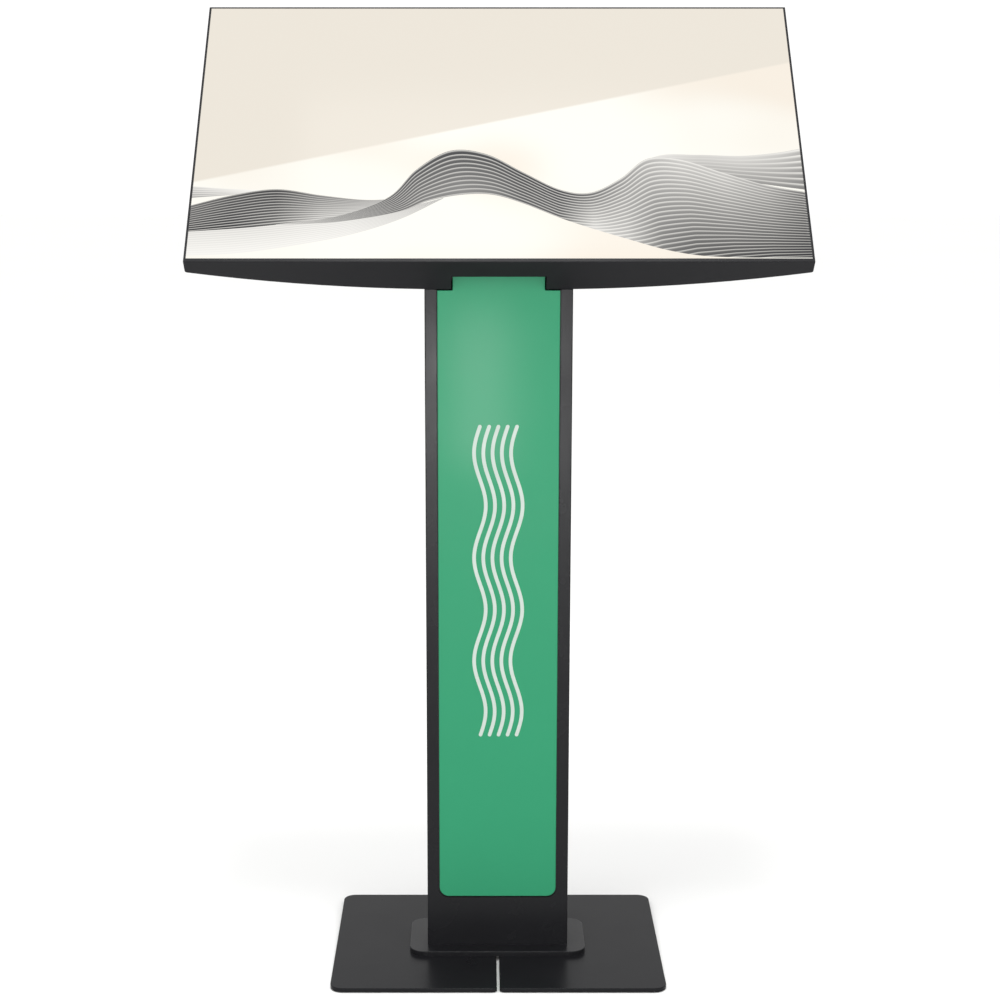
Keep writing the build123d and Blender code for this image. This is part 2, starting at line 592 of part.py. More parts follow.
# Heat sink, processor can and connector bank: middle x and v on the board, width, height, thickness
BOARD_PARTS = ((-45, -10, 40, 40, 8), (20, 25, 30, 22, 5), (30, -40, 70, 14, 9))
with BuildPart() as lcd_driver_board:
    board_v = HEAD_HEIGHT / 2 + 1
    board_front = LCD_BACK + BOARD_STANDOFF
    board_back = board_front + BOARD_SHEET
    head_block((-BOARD_HALF[0], BOARD_HALF[0]), (board_v - BOARD_HALF[1], board_v + BOARD_HALF[1]),
               (board_front, board_back))
    spacer_x = BOARD_HALF[0] - BOARD_SPACER_INSET
    spacer_v = BOARD_HALF[1] - BOARD_SPACER_INSET
    head_rods([(x, board_v + v) for x in (-spacer_x, spacer_x) for v in (-spacer_v, spacer_v)],
              BOARD_SPACER_RADIUS, (LCD_BACK, board_front))
    for x, v, wide, high, tall in BOARD_PARTS:
        head_block((x - wide / 2, x + wide / 2), (board_v + v - high / 2, board_v + v + high / 2),
                   (board_back, board_back + tall))
save(lcd_driver_board, "lcd_driver_board")

TOUCH_BOARD_X = (-262.0, -182.0)
TOUCH_BOARD_V = (40.0, 65.0)
TOUCH_CHIP_HALF = (10.0, 7.5)
TOUCH_CHIP = 2.6
with BuildPart() as touch_controller:
    chip_x = sum(TOUCH_BOARD_X) / 2
    chip_v = sum(TOUCH_BOARD_V) / 2
    touch_back = LCD_BACK + BOARD_SHEET
    head_block(TOUCH_BOARD_X, TOUCH_BOARD_V, (LCD_BACK, touch_back))
    head_block((chip_x - TOUCH_CHIP_HALF[0], chip_x + TOUCH_CHIP_HALF[0]),
               (chip_v - TOUCH_CHIP_HALF[1], chip_v + TOUCH_CHIP_HALF[1]),
               (touch_back, touch_back + TOUCH_CHIP))
save(touch_controller, "touch_controller")

SPEAKER_SPACE = 14.0         # from the unit beside it
SPEAKER_WIDTH = 48.0
SPEAKER_LENGTH = 130.0
SPEAKER_DEPTH = 8.0
SPEAKER_LOW_V = 100.0
CONE_RADIUS = 18.0
CONE_DEPTH = 3.0
CONE_INSET = 35.0            # from the box's lower end
CONE_PITCH = 60.0
DUST_CAP_RADIUS = 7.0
DUST_CAP = 2.0


def speaker(side):
    """A slim full-range speaker in its box, cones towards the back."""
    inner_x = UNIT_INNER_X + UNIT_WIDTH + SPEAKER_SPACE
    first_v = SPEAKER_LOW_V + CONE_INSET
    cones = [(side * (inner_x + SPEAKER_WIDTH / 2), v) for v in (first_v, first_v + CONE_PITCH)]
    back = LCD_BACK + SPEAKER_DEPTH
    with BuildPart() as box:
        head_block(sorted((side * inner_x, side * (inner_x + SPEAKER_WIDTH))),
                   (SPEAKER_LOW_V, SPEAKER_LOW_V + SPEAKER_LENGTH), (LCD_BACK, back))
        head_rods(cones, CONE_RADIUS, (back - CONE_DEPTH, back), Mode.SUBTRACT)
        head_rods(cones, DUST_CAP_RADIUS, (back - CONE_DEPTH, back - CONE_DEPTH + DUST_CAP))
    return box


save(speaker(-1), "speaker_left")
save(speaker(1), "speaker_right")

with BuildPart() as button_bezel:
    with BuildSketch(back_plane(BUTTON_X, BUTTON_V)) as ring:
        Circle(BEZEL_RADIUS)
        Circle(BUTTON_RADIUS + BUTTON_GAP, mode=Mode.SUBTRACT)
    extrude(ring.sketch, amount=BEZEL_FLANGE)
    with BuildSketch(back_plane(BUTTON_X, BUTTON_V)) as collar:
        Circle(BEZEL_BODY)
        Circle(BUTTON_RADIUS + BUTTON_GAP, mode=Mode.SUBTRACT)
    extrude(collar.sketch, amount=-BEZEL_LENGTH)
save(button_bezel, "button_bezel")

with BuildPart() as power_button:
    with BuildSketch(back_plane(BUTTON_X, BUTTON_V, -BUTTON_INSIDE)) as cap:
        Circle(BUTTON_RADIUS)
    extrude(cap.sketch, amount=BUTTON_INSIDE + BUTTON_PROUD)
    chamfer(power_button.edges().group_by(Axis((0, 0, 0), -GLASS_FACE.z_dir))[-1], BUTTON_EDGE)
save(power_button, "power_button")

with BuildPart() as button_switch:
    with BuildSketch(back_plane(BUTTON_X, BUTTON_V, -BEZEL_LENGTH)) as switch_body:
        Circle(BEZEL_BODY)
    extrude(switch_body.sketch, amount=-SWITCH_LENGTH)
save(button_switch, "button_switch")

# ================= Column =================

OPENING_HALF = PANEL_WIDTH / 2 + PANEL_GAP
DOOR_HALF = DOOR_WIDTH / 2
COLUMN_TOP = HEAD_REST_Z + COLUMN_DEPTH * SIN_TILT / COS_TILT
PANEL_FRONT = COLUMN_WALL - PANEL_THICKNESS
LOCK_Z = (DOOR_LOW_Z + DOOR_HIGH_Z) / 2
INLET_SCREW_X = INLET_FLANGE_WIDTH / 2 - INLET_SCREW_INSET

with BuildPart() as column_shell:
    block((-COLUMN_WIDTH / 2, COLUMN_WIDTH / 2), (behind(0), behind(COLUMN_DEPTH)), (COLUMN_Z, COLUMN_TOP))
    inner_half = COLUMN_WIDTH / 2 - COLUMN_WALL
    inner_y = (behind(COLUMN_WALL), behind(COLUMN_DEPTH - COLUMN_WALL))
    block((-inner_half, inner_half), inner_y, (COLUMN_Z, COLUMN_TOP), Mode.SUBTRACT)
    split(bisect_by=at_depth(HEAD_DEPTH), keep=Keep.BOTTOM)
    # Front opening for the coloured panel, open at the top
    with BuildSketch(facing(behind(COLUMN_WALL))) as opening:
        with Locations((0, PANEL_BOTTOM - PANEL_GAP)):
            Rectangle(2 * OPENING_HALF, COLUMN_TOP, align=(Align.CENTER, Align.MIN))
        fillet(opening.vertices().group_by(Axis.Y)[0], PANEL_CORNER + PANEL_GAP)
    extrude(opening.sketch, amount=COLUMN_WALL, mode=Mode.SUBTRACT)
    # Back openings: door, mains inlet, network coupler
    rear = (behind(COLUMN_DEPTH - COLUMN_WALL), behind(COLUMN_DEPTH))
    block((-DOOR_HALF - DOOR_GAP, DOOR_HALF + DOOR_GAP), rear,
          (DOOR_LOW_Z - DOOR_GAP, DOOR_HIGH_Z + DOOR_GAP), Mode.SUBTRACT)
    block((-INLET_WIDTH / 2, INLET_WIDTH / 2), rear,
          (PORT_Z - INLET_HEIGHT / 2, PORT_Z + INLET_HEIGHT / 2), Mode.SUBTRACT)
    block((COUPLER_X - COUPLER_HALF, COUPLER_X + COUPLER_HALF), rear,
          (PORT_Z - COUPLER_HALF, PORT_Z + COUPLER_HALF), Mode.SUBTRACT)
    outer_corners = column_shell.edges().filter_by(
        lambda e: abs(abs(e.center().X) - COLUMN_WIDTH / 2) < 0.01 and abs(e.tangent_at(0.5).Z) > 0.99
    )
    fillet(outer_corners, COLUMN_ROUND)
save(column_shell, "column_shell")


def tongued_sheet(width, bottom, corner, thickness, back, tongue_width, tongue_top):
    """An upright sheet with two rounded lower corners and a narrower tongue above its shoulders."""
    shoulder = HEAD_REST_Z - PANEL_SHOULDER
    with BuildPart() as sheet:
        with BuildSketch(facing(behind(back))) as outline:
            with Locations((0, bottom)):
                Rectangle(width, shoulder - bottom, align=(Align.CENTER, Align.MIN))
            fillet(outline.vertices().group_by(Axis.Y)[0], corner)
            with Locations((0, shoulder)):
                Rectangle(tongue_width, tongue_top - shoulder, align=(Align.CENTER, Align.MIN))
        extrude(outline.sketch, amount=thickness)
    return sheet


BACKING_WIDTH = 2 * (OPENING_HALF + BACKING_LAP)
BACKING_BACK = COLUMN_WALL + BACKING_SHEET
save(tongued_sheet(PANEL_WIDTH, PANEL_BOTTOM, PANEL_CORNER, PANEL_THICKNESS, COLUMN_WALL,
                   TONGUE_WIDTH, HEAD_REST_Z + TONGUE_RISE), "brand_panel")
save(tongued_sheet(BACKING_WIDTH, PANEL_BOTTOM - BACKING_LAP, PANEL_GAP, BACKING_SHEET, BACKING_BACK,
                   TONGUE_WIDTH - 2 * BACKING_SHY, HEAD_REST_Z + TONGUE_RISE - BACKING_SHY), "panel_backing")


def wave_edge(offset):
    """Points of one edge of an upright wavy ribbon, four to a wave."""
    steps = round((GRAPHIC_HIGH_Z - GRAPHIC_LOW_Z) / (GRAPHIC_WAVE / 4))
    rise = (GRAPHIC_HIGH_Z - GRAPHIC_LOW_Z) / steps
    return [
        (offset + GRAPHIC_SWING * sin(2 * pi * i * rise / GRAPHIC_WAVE), GRAPHIC_LOW_Z + i * rise)
        for i in range(steps + 1)
    ]


with BuildPart() as panel_graphic:
    for line in range(GRAPHIC_LINES):
        offset = (line - (GRAPHIC_LINES - 1) / 2) * GRAPHIC_PITCH
        left = wave_edge(offset - GRAPHIC_STROKE / 2)
        right = wave_edge(offset + GRAPHIC_STROKE / 2)
        with BuildSketch(facing(behind(PANEL_FRONT))) as ribbon:
            with BuildLine():
                Spline(*left)
                Line(left[-1], right[-1])
                Spline(*right)
                Line(left[0], right[0])
            make_face()
        extrude(ribbon.sketch, amount=GRAPHIC_THICKNESS)
save(panel_graphic, "panel_graphic")

with BuildPart() as column_top_plate:
    plate_back = HEAD_DEPTH + TOP_PLATE_THICKNESS
    # The plate's rear lower edge meets the column's back wall
    rear_wall = COLUMN_DEPTH - COLUMN_WALL + HEAD_DEPTH * SIN_TILT
    plate_end = (rear_wall - plate_back * SIN_TILT) / COS_TILT
    plate_half = COLUMN_WIDTH / 2 - COLUMN_WALL
    head_block((-plate_half, plate_half), (TOP_PLATE_START, plate_end), (HEAD_DEPTH, plate_back))
    head_rods(HEAD_BOLTS, BOLT_RADIUS + BOLT_CLEARANCE, (HEAD_DEPTH, plate_back), Mode.SUBTRACT)
save(column_top_plate, "column_top_plate")

with BuildPart() as neck_gussets:
    upper = head_point(0, plate_end, plate_back)
    lower = head_point(0, TOP_PLATE_START + GUSSET_START, plate_back)
    for side in (-1, 1):
        with BuildSketch(Plane.YZ.offset(side * GUSSET_X - GUSSET_THICKNESS / 2)) as gusset:
            with BuildLine():
                Polyline((lower.Y, lower.Z), (upper.Y, upper.Z), (upper.Y, lower.Z - GUSSET_DROP), close=True)
            make_face()
        extrude(gusset.sketch, amount=GUSSET_THICKNESS)
save(neck_gussets, "neck_gussets")

TRIM_SHEET = 1.2
TRIM_LAP = 4.5
TRIM_EDGE = 1.5
with BuildPart() as neck_edge_trim:
    trim_x = (-FLAT_HALF, FLAT_HALF)
    head_block(trim_x, (NECK_SLOT - TRIM_EDGE, NECK_SLOT + TRIM_LAP),
               (SPINE_BACK - TRIM_SHEET, HEAD_DEPTH + TRIM_SHEET))
    head_block(trim_x, (NECK_SLOT, NECK_SLOT + TRIM_LAP), (SPINE_BACK, HEAD_DEPTH), Mode.SUBTRACT)
save(neck_edge_trim, "neck_edge_trim")

# ---- Service door, its stop frame, hinges and lock ----
DOOR_BACK = COLUMN_DEPTH
DOOR_FRONT = COLUMN_DEPTH - DOOR_SHEET
RETURN_HALF = DOOR_HALF - DOOR_RETURN_INSET
DOOR_Z = (DOOR_LOW_Z, DOOR_HIGH_Z)
RETURN_Z = (DOOR_LOW_Z + DOOR_RETURN_INSET, DOOR_HIGH_Z - DOOR_RETURN_INSET)

with BuildPart() as column_door:
    block((-DOOR_HALF, DOOR_HALF), (behind(DOOR_FRONT), behind(DOOR_BACK)), DOOR_Z)
    fillet(column_door.faces().sort_by(Axis.Y)[-1].edges(), DOOR_ROUND)
    block((-RETURN_HALF, RETURN_HALF), (behind(DOOR_FRONT - DOOR_RETURN), behind(DOOR_FRONT)), RETURN_Z)
    inside_half = RETURN_HALF - DOOR_RETURN_SHEET
    block((-inside_half, inside_half), (behind(DOOR_FRONT - DOOR_RETURN), behind(DOOR_FRONT)),
          (RETURN_Z[0] + DOOR_RETURN_SHEET, RETURN_Z[1] - DOOR_RETURN_SHEET), Mode.SUBTRACT)
    with BuildSketch(facing(behind(DOOR_BACK))) as door_holes:
        with Locations((LOCK_X, LOCK_Z)):
            Circle(LOCK_RADIUS)
        for vent_z in (DOOR_LOW_Z + DOOR_VENT_INSET, DOOR_HIGH_Z - DOOR_VENT_INSET):
            with Locations((0, vent_z)):
                with GridLocations(0, DOOR_VENT_PITCH, 1, DOOR_VENT_COUNT):
                    SlotOverall(DOOR_VENT_LENGTH, VENT_WIDTH)
    extrude(door_holes.sketch, amount=DOOR_SHEET, mode=Mode.SUBTRACT)
save(column_door, "column_door")

STOP_BACK = COLUMN_DEPTH - COLUMN_WALL
STOP_FRONT = STOP_BACK - STOP_THICKNESS
with BuildPart() as door_stop_frame:
    outer_half = DOOR_HALF + DOOR_GAP + STOP_LAP
    inner_half = DOOR_HALF + DOOR_GAP - STOP_LAP
    stop_y = (behind(STOP_FRONT), behind(STOP_BACK))
    edge_low = DOOR_LOW_Z - DOOR_GAP
    edge_high = DOOR_HIGH_Z + DOOR_GAP
    block((-outer_half, outer_half), stop_y, (edge_low - STOP_LAP, edge_high + STOP_LAP))
    block((-inner_half, inner_half), stop_y, (edge_low + STOP_LAP, edge_high - STOP_LAP), Mode.SUBTRACT)
save(door_stop_frame, "door_stop_frame")

HINGE_Y = behind(COLUMN_DEPTH + HINGE_LIFT)
HINGE_Z = [DOOR_LOW_Z + HINGE_INSET + i * (DOOR_HIGH_Z - DOOR_LOW_Z - 2 * HINGE_INSET) / (HINGE_COUNT - 1)
           for i in range(HINGE_COUNT)]
KNUCKLE = HINGE_LENGTH / 3


def hinge_leaf(centre_z, side, spans):
    """A flat leaf on the column's back with barrel knuckles over the given spans of height."""
    leaf_y = (behind(COLUMN_DEPTH), behind(COLUMN_DEPTH) + LEAF_SHEET)
    for low, high in spans:
        span = (centre_z + low, centre_z + high)
        with BuildSketch(Plane((HINGE_AXIS_X, HINGE_Y, span[0]))) as barrel:
            Circle(HINGE_RADIUS)
        extrude(barrel.sketch, amount=span[1] - span[0])
        edge_x = HINGE_AXIS_X + side * HINGE_RADIUS
        block(sorted((HINGE_AXIS_X + side * HINGE_NECK, edge_x + side * LEAF_SHEET)),
              (behind(COLUMN_DEPTH), HINGE_Y), span)
    far_x = HINGE_AXIS_X + side * (HINGE_RADIUS + LEAF_WIDTH)
    near_x = HINGE_AXIS_X + side * HINGE_RADIUS
    block(sorted((near_x, far_x)), leaf_y, (centre_z - HINGE_LENGTH / 2, centre_z + HINGE_LENGTH / 2))


with BuildPart() as hinge_leaves_column:
    for centre_z in HINGE_Z:
        outer_spans = [(-HINGE_LENGTH / 2, -KNUCKLE / 2), (KNUCKLE / 2, HINGE_LENGTH / 2)]
        hinge_leaf(centre_z, -1, outer_spans)
    with Locations([(HINGE_AXIS_X, HINGE_Y, z) for z in HINGE_Z]):
        Cylinder(HINGE_PIN_RADIUS, HINGE_LENGTH, mode=Mode.SUBTRACT)
save(hinge_leaves_column, "hinge_leaves_column")

with BuildPart() as hinge_leaves_door:
    for centre_z in HINGE_Z:
        hinge_leaf(centre_z, 1, [(-KNUCKLE / 2 + KNUCKLE_GAP, KNUCKLE / 2 - KNUCKLE_GAP)])
    with Locations([(HINGE_AXIS_X, HINGE_Y, z) for z in HINGE_Z]):
        Cylinder(HINGE_PIN_RADIUS + HINGE_RUNNING, HINGE_LENGTH, mode=Mode.SUBTRACT)
save(hinge_leaves_door, "hinge_leaves_door")

with BuildPart() as hinge_pins:
    with Locations([(HINGE_AXIS_X, HINGE_Y, z) for z in HINGE_Z]):
        Cylinder(HINGE_PIN_RADIUS, HINGE_LENGTH)
save(hinge_pins, "hinge_pins")

# The barrel's inner end carries the cam just in front of the keeper
CAM_BACK = STOP_FRONT - KEEPER_DEPTH - CAM_GAP
CAM_FRONT = CAM_BACK - CAM_SHEET
with BuildPart() as lock_barrel:
    with BuildSketch(facing(behind(COLUMN_DEPTH + LOCK_FLANGE))) as flange:
        with Locations((LOCK_X, LOCK_Z)):
            Circle(LOCK_FLANGE_RADIUS)
            Circle(CORE_RADIUS + HINGE_RUNNING, mode=Mode.SUBTRACT)
    extrude(flange.sketch, amount=LOCK_FLANGE)
    with BuildSketch(facing(behind(COLUMN_DEPTH))) as barrel_ring:
        with Locations((LOCK_X, LOCK_Z)):
            Circle(LOCK_RADIUS)
            Circle(CORE_RADIUS + HINGE_RUNNING, mode=Mode.SUBTRACT)
    extrude(barrel_ring.sketch, amount=COLUMN_DEPTH - CAM_BACK - LOCK_SETBACK)
save(lock_barrel, "lock_barrel")

with BuildPart() as lock_nut:
    with BuildSketch(facing(behind(DOOR_FRONT))) as nut:
        with Locations((LOCK_X, LOCK_Z)):
            RegularPolygon(LOCK_NUT_HALF, 6, major_radius=False, rotation=30)
            Circle(LOCK_RADIUS, mode=Mode.SUBTRACT)
    extrude(nut.sketch, amount=LOCK_NUT_HEIGHT)
save(lock_nut, "lock_nut")

with BuildPart() as lock_core:
    core_back = COLUMN_DEPTH + LOCK_FLANGE - LOCK_SETBACK
    with BuildSketch(facing(behind(core_back))) as core:
        with Locations((LOCK_X, LOCK_Z)):
            Circle(CORE_RADIUS)
    extrude(core.sketch, amount=core_back - CAM_BACK)
    with BuildSketch(facing(behind(CAM_BACK))) as cam:
        with Locations((LOCK_X, LOCK_Z)):
            Circle(CAM_BOSS_RADIUS)
            Rectangle(CAM_WIDTH, CAM_LENGTH, align=(Align.CENTER, Align.MAX))
    extrude(cam.sketch, amount=CAM_SHEET)
    with BuildSketch(facing(behind(CAM_FRONT))) as cam_screw:
        with Locations((LOCK_X, LOCK_Z)):
            RegularPolygon(CAM_SCREW_RADIUS, 6)
    extrude(cam_screw.sketch, amount=CAM_SCREW_HEAD)
    block((LOCK_X - KEYWAY_WIDTH / 2, LOCK_X + KEYWAY_WIDTH / 2),
          (behind(core_back - KEYWAY_DEPTH), behind(core_back)),
          (LOCK_Z - KEYWAY_HEIGHT / 2, LOCK_Z + KEYWAY_HEIGHT / 2), Mode.SUBTRACT)
save(lock_core, "lock_core")

with BuildPart() as lock_keeper:
    keeper_x = DOOR_HALF + DOOR_GAP - STOP_LAP + KEEPER_SETBACK
    block((keeper_x, keeper_x + KEEPER_WIDTH), (behind(STOP_FRONT - KEEPER_DEPTH), behind(STOP_FRONT)),
          (LOCK_Z - KEEPER_HEIGHT / 2, LOCK_Z + KEEPER_HEIGHT / 2))
save(lock_keeper, "lock_keeper")

# ---- Mains inlet with switch, and network coupler ----
FLANGE_BACK = COLUMN_DEPTH + INLET_FLANGE
INLET_FRONT = COLUMN_DEPTH - INLET_BODY
COUPLER_FRONT = COLUMN_DEPTH - COUPLER_BODY
COUPLER_BACK = COLUMN_DEPTH + COUPLER_FLANGE
ROCKER_PIVOT_Y = behind(COLUMN_DEPTH - PIVOT_DEPTH)
INLET_Z = (PORT_Z - INLET_HEIGHT / 2, PORT_Z + INLET_HEIGHT / 2)
SOCKET_FLOOR = FLANGE_BACK - SOCKET_DEPTH
with BuildPart() as inlet_module:
    with BuildSketch(facing(behind(FLANGE_BACK))) as flange_outline:
        with Locations((0, PORT_Z)):
            RectangleRounded(INLET_FLANGE_WIDTH, INLET_FLANGE_HEIGHT, INLET_FLANGE_CORNER)
    extrude(flange_outline.sketch, amount=INLET_FLANGE)
    block((-INLET_WIDTH / 2, INLET_WIDTH / 2), (behind(INLET_FRONT), behind(COLUMN_DEPTH)), INLET_Z)
    with BuildSketch(facing(behind(FLANGE_BACK))) as socket:
        with Locations((SOCKET_X, PORT_Z)):
            Rectangle(SOCKET_WIDTH, SOCKET_HEIGHT)
            chamfer(socket.vertices().group_by(Axis.Y)[-1], SOCKET_CORNER)
    extrude(socket.sketch, amount=SOCKET_DEPTH, mode=Mode.SUBTRACT)
    slot_half = ROCKER_WIDTH / 2 + ROCKER_GAP
    block((ROCKER_X - slot_half, ROCKER_X + slot_half),
          (behind(COLUMN_DEPTH - ROCKER_ROOM), behind(FLANGE_BACK)),
          (PORT_Z - ROCKER_SLOT / 2, PORT_Z + ROCKER_SLOT / 2), Mode.SUBTRACT)
    with Locations(Plane((ROCKER_X, ROCKER_PIVOT_Y, PORT_Z), z_dir=(1, 0, 0))):
        Cylinder(TRUNNION_RADIUS + HINGE_RUNNING, 2 * (slot_half + TRUNNION_HOLE), mode=Mode.SUBTRACT)
    with BuildSketch(facing(behind(FLANGE_BACK))) as screw_holes:
        with Locations((-INLET_SCREW_X, PORT_Z), (INLET_SCREW_X, PORT_Z)):
            Circle(COVER_SCREW_RADIUS)
    extrude(screw_holes.sketch, amount=INLET_FLANGE, mode=Mode.SUBTRACT)
save(inlet_module, "inlet_module")

with BuildPart() as inlet_pins:
    with BuildSketch(facing(behind(SOCKET_FLOOR + PIN_LENGTH))) as blades:
        with Locations((SOCKET_X - PIN_SPACING, PORT_Z - PIN_STEP), (SOCKET_X, PORT_Z + PIN_STEP),
                       (SOCKET_X + PIN_SPACING, PORT_Z - PIN_STEP)):
            Rectangle(*PIN_SECTION)
    extrude(blades.sketch, amount=PIN_LENGTH)
save(inlet_pins, "inlet_pins")

with BuildPart() as inlet_screws:
    inlet_screw_places = [(-INLET_SCREW_X, PORT_Z), (INLET_SCREW_X, PORT_Z)]
    with BuildSketch(facing(behind(FLANGE_BACK + INLET_SCREW_HEAD))) as heads:
        with Locations(inlet_screw_places):
            Circle(COVER_HEAD_RADIUS)
    extrude(heads.sketch, amount=INLET_SCREW_HEAD)
    with BuildSketch(facing(behind(FLANGE_BACK))) as shanks:
        with Locations(inlet_screw_places):
            Circle(COVER_SCREW_RADIUS)
    extrude(shanks.sketch, amount=INLET_FLANGE)
save(inlet_screws, "inlet_screws")

with BuildPart() as rocker_switch:
    # Side view about the pivot: x runs out of the column and y up, both turned by the rest tilt
    out_of_column = (0, cos(radians(ROCKER_TILT)), -sin(radians(ROCKER_TILT)))
    rocker_origin = (ROCKER_X - ROCKER_WIDTH / 2, ROCKER_PIVOT_Y, PORT_Z)
    with BuildSketch(Plane(rocker_origin, x_dir=out_of_column, z_dir=(1, 0, 0))) as rocker_side:
        with BuildLine():
            Polyline((-2.5, -ROCKER_HALF), (3.0, -ROCKER_HALF), (2.2, 0), (3.0, ROCKER_HALF),
                     (-2.5, ROCKER_HALF))
            ThreePointArc((-2.5, ROCKER_HALF), (-3.6, 0), (-2.5, -ROCKER_HALF))
        make_face()
    extrude(rocker_side.sketch, amount=ROCKER_WIDTH)
    with Locations(Plane((ROCKER_X, ROCKER_PIVOT_Y, PORT_Z), z_dir=(1, 0, 0))):
        Cylinder(TRUNNION_RADIUS, 2 * (slot_half + TRUNNION_REACH))
save(rocker_switch, "rocker_switch")

with BuildPart() as network_coupler:
    block((COUPLER_X - COUPLER_HALF, COUPLER_X + COUPLER_HALF), (behind(COUPLER_FRONT), behind(COLUMN_DEPTH)),
          (PORT_Z - COUPLER_HALF, PORT_Z + COUPLER_HALF))
    with BuildSketch(facing(behind(COUPLER_BACK))) as coupler_flange:
        with Locations((COUPLER_X, PORT_Z)):
            RectangleRounded(*COUPLER_FLANGE_SIZE, COUPLER_CORNER)
    extrude(coupler_flange.sketch, amount=COUPLER_FLANGE)
    with BuildSketch(facing(behind(COUPLER_BACK))) as jack:
        with Locations((COUPLER_X, PORT_Z)):
            Rectangle(*JACK_SIZE)
    extrude(jack.sketch, amount=JACK_DEPTH, mode=Mode.SUBTRACT)
save(network_coupler, "network_coupler")

# ---- Leads inside the column, their saddles and the power block ----
BLOCK_X = -COLUMN_WIDTH / 2 + COLUMN_WALL
with BuildPart() as power_block:
    block_y = (behind(LEAD_Y - BLOCK_DEPTH / 2), behind(LEAD_Y + BLOCK_DEPTH / 2))
    block((BLOCK_X, LEAD_X + BLOCK_REACH), block_y, (BLOCK_Z, BLOCK_Z + BLOCK_HEIGHT))
    fillet(power_block.edges().filter_by(Axis.Z), BLOCK_CORNER)
save(power_block, "power_block")


def lead(points, corner_radii, radius):
    """A round lead along straight runs joined by tangent arcs."""
    with BuildPart() as cable:
        with BuildLine() as route:
            FilletPolyline(*points, radius=corner_radii)
        with BuildSketch(Plane(origin=route.line @ 0, z_dir=route.line % 0)) as section:
            Circle(radius)
        sweep(section.sketch, path=route.wire())
    share = cable.part.volume / (route.wire().length * pi * radius**2)
    print(f"lead of {route.wire().length:.0f} mm, volume against section times length {share:.4f}")
    return cable


NECK_Y = behind(10.5)
LEAD_TOP_Z = HEAD_REST_Z - 85
HEAD_LEAD_V = UNIT_LOW_V
save(lead([(SOCKET_X, behind(INLET_FRONT), PORT_Z), (SOCKET_X, behind(14), PORT_Z),
           (SOCKET_X, behind(14), 128), (LEAD_X, behind(LEAD_Y), 158), (LEAD_X, behind(LEAD_Y), BLOCK_Z)],
          [14, 18, 18], MAINS_RADIUS), "inlet_lead")


def head_lead(side, start, corner_radii, radius):
    """The rest of a lead's way: up its side of the column, through the neck, to its unit in the head."""
    points = start + [
        (side * -LEAD_X, behind(LEAD_Y), LEAD_TOP_Z),
        (side * 12, NECK_Y, LEAD_TOP_Z + 40),
        (side * 12, NECK_Y, HEAD_REST_Z + 32),
        head_point(side * 78, 62, 25),
        head_point(side * 160, 74, 26),
        head_point(side * 160, HEAD_LEAD_V, 26),
    ]
    return lead(points, corner_radii, radius)


save(head_lead(-1, [(LEAD_X, behind(LEAD_Y), BLOCK_Z + BLOCK_HEIGHT)], [30, 22, 20, 40, 20], MAINS_RADIUS),
     "head_power_lead")
save(head_lead(1, [(COUPLER_X, behind(COUPLER_FRONT), PORT_Z), (COUPLER_X, behind(18), PORT_Z),
                   (COUPLER_X, behind(18), 112), (-LEAD_X, behind(LEAD_Y), 142)],
               [12, 16, 16, 30, 22, 20, 40, 20], NETWORK_RADIUS), "network_lead")

SADDLE_LOW = BLOCK_Z + BLOCK_HEIGHT + 40
SADDLE_HIGH = LEAD_TOP_Z - 115
with BuildPart() as lead_saddles:
    saddle_wall = COLUMN_WIDTH / 2 - COLUMN_WALL
    saddle_y = (behind(LEAD_Y - SADDLE_DEPTH / 2), behind(LEAD_Y + SADDLE_DEPTH / 2))
    for side, radius in ((-1, MAINS_RADIUS), (1, NETWORK_RADIUS)):
        for z in (SADDLE_LOW, (SADDLE_LOW + SADDLE_HIGH) / 2, SADDLE_HIGH):
            saddle_x = sorted((side * saddle_wall, side * (-LEAD_X - SADDLE_REACH)))
            block(saddle_x, saddle_y, (z, z + SADDLE_HEIGHT))
        with Locations((side * -LEAD_X, behind(LEAD_Y), (SADDLE_LOW + SADDLE_HIGH + SADDLE_HEIGHT) / 2)):
            Cylinder(radius + SADDLE_GAP, SADDLE_HIGH - SADDLE_LOW + 2 * SADDLE_HEIGHT, mode=Mode.SUBTRACT)
save(lead_saddles, "lead_saddles")

# ================= Base =================


def base_plate(side, inset=0.0):
    """Outline of one base plate: large outer corners, small ones at the slot."""
    half_depth = BASE_DEPTH / 2 - inset
    inner = BASE_SLOT / 2 + inset
    outer = BASE_WIDTH / 2 - inset
    with BuildSketch(Plane((0, COLUMN_MIDDLE, 0))) as outline:
        with Locations((side * (inner + outer) / 2, 0)):
            Rectangle(outer - inner, 2 * half_depth)
        corners = outline.vertices().sort_by(lambda v: abs(v.X))
        fillet(corners[2:], BASE_CORNER - inset)
        corners = outline.vertices().group_by(lambda v: round(abs(v.X), 3))[0]
        fillet(corners, SLOT_CORNER)
    return outline.sketch


def near_side(points, side):
    """The fastener places on one side of the slot."""
    return [point for point in points if point[0] * side > 0]


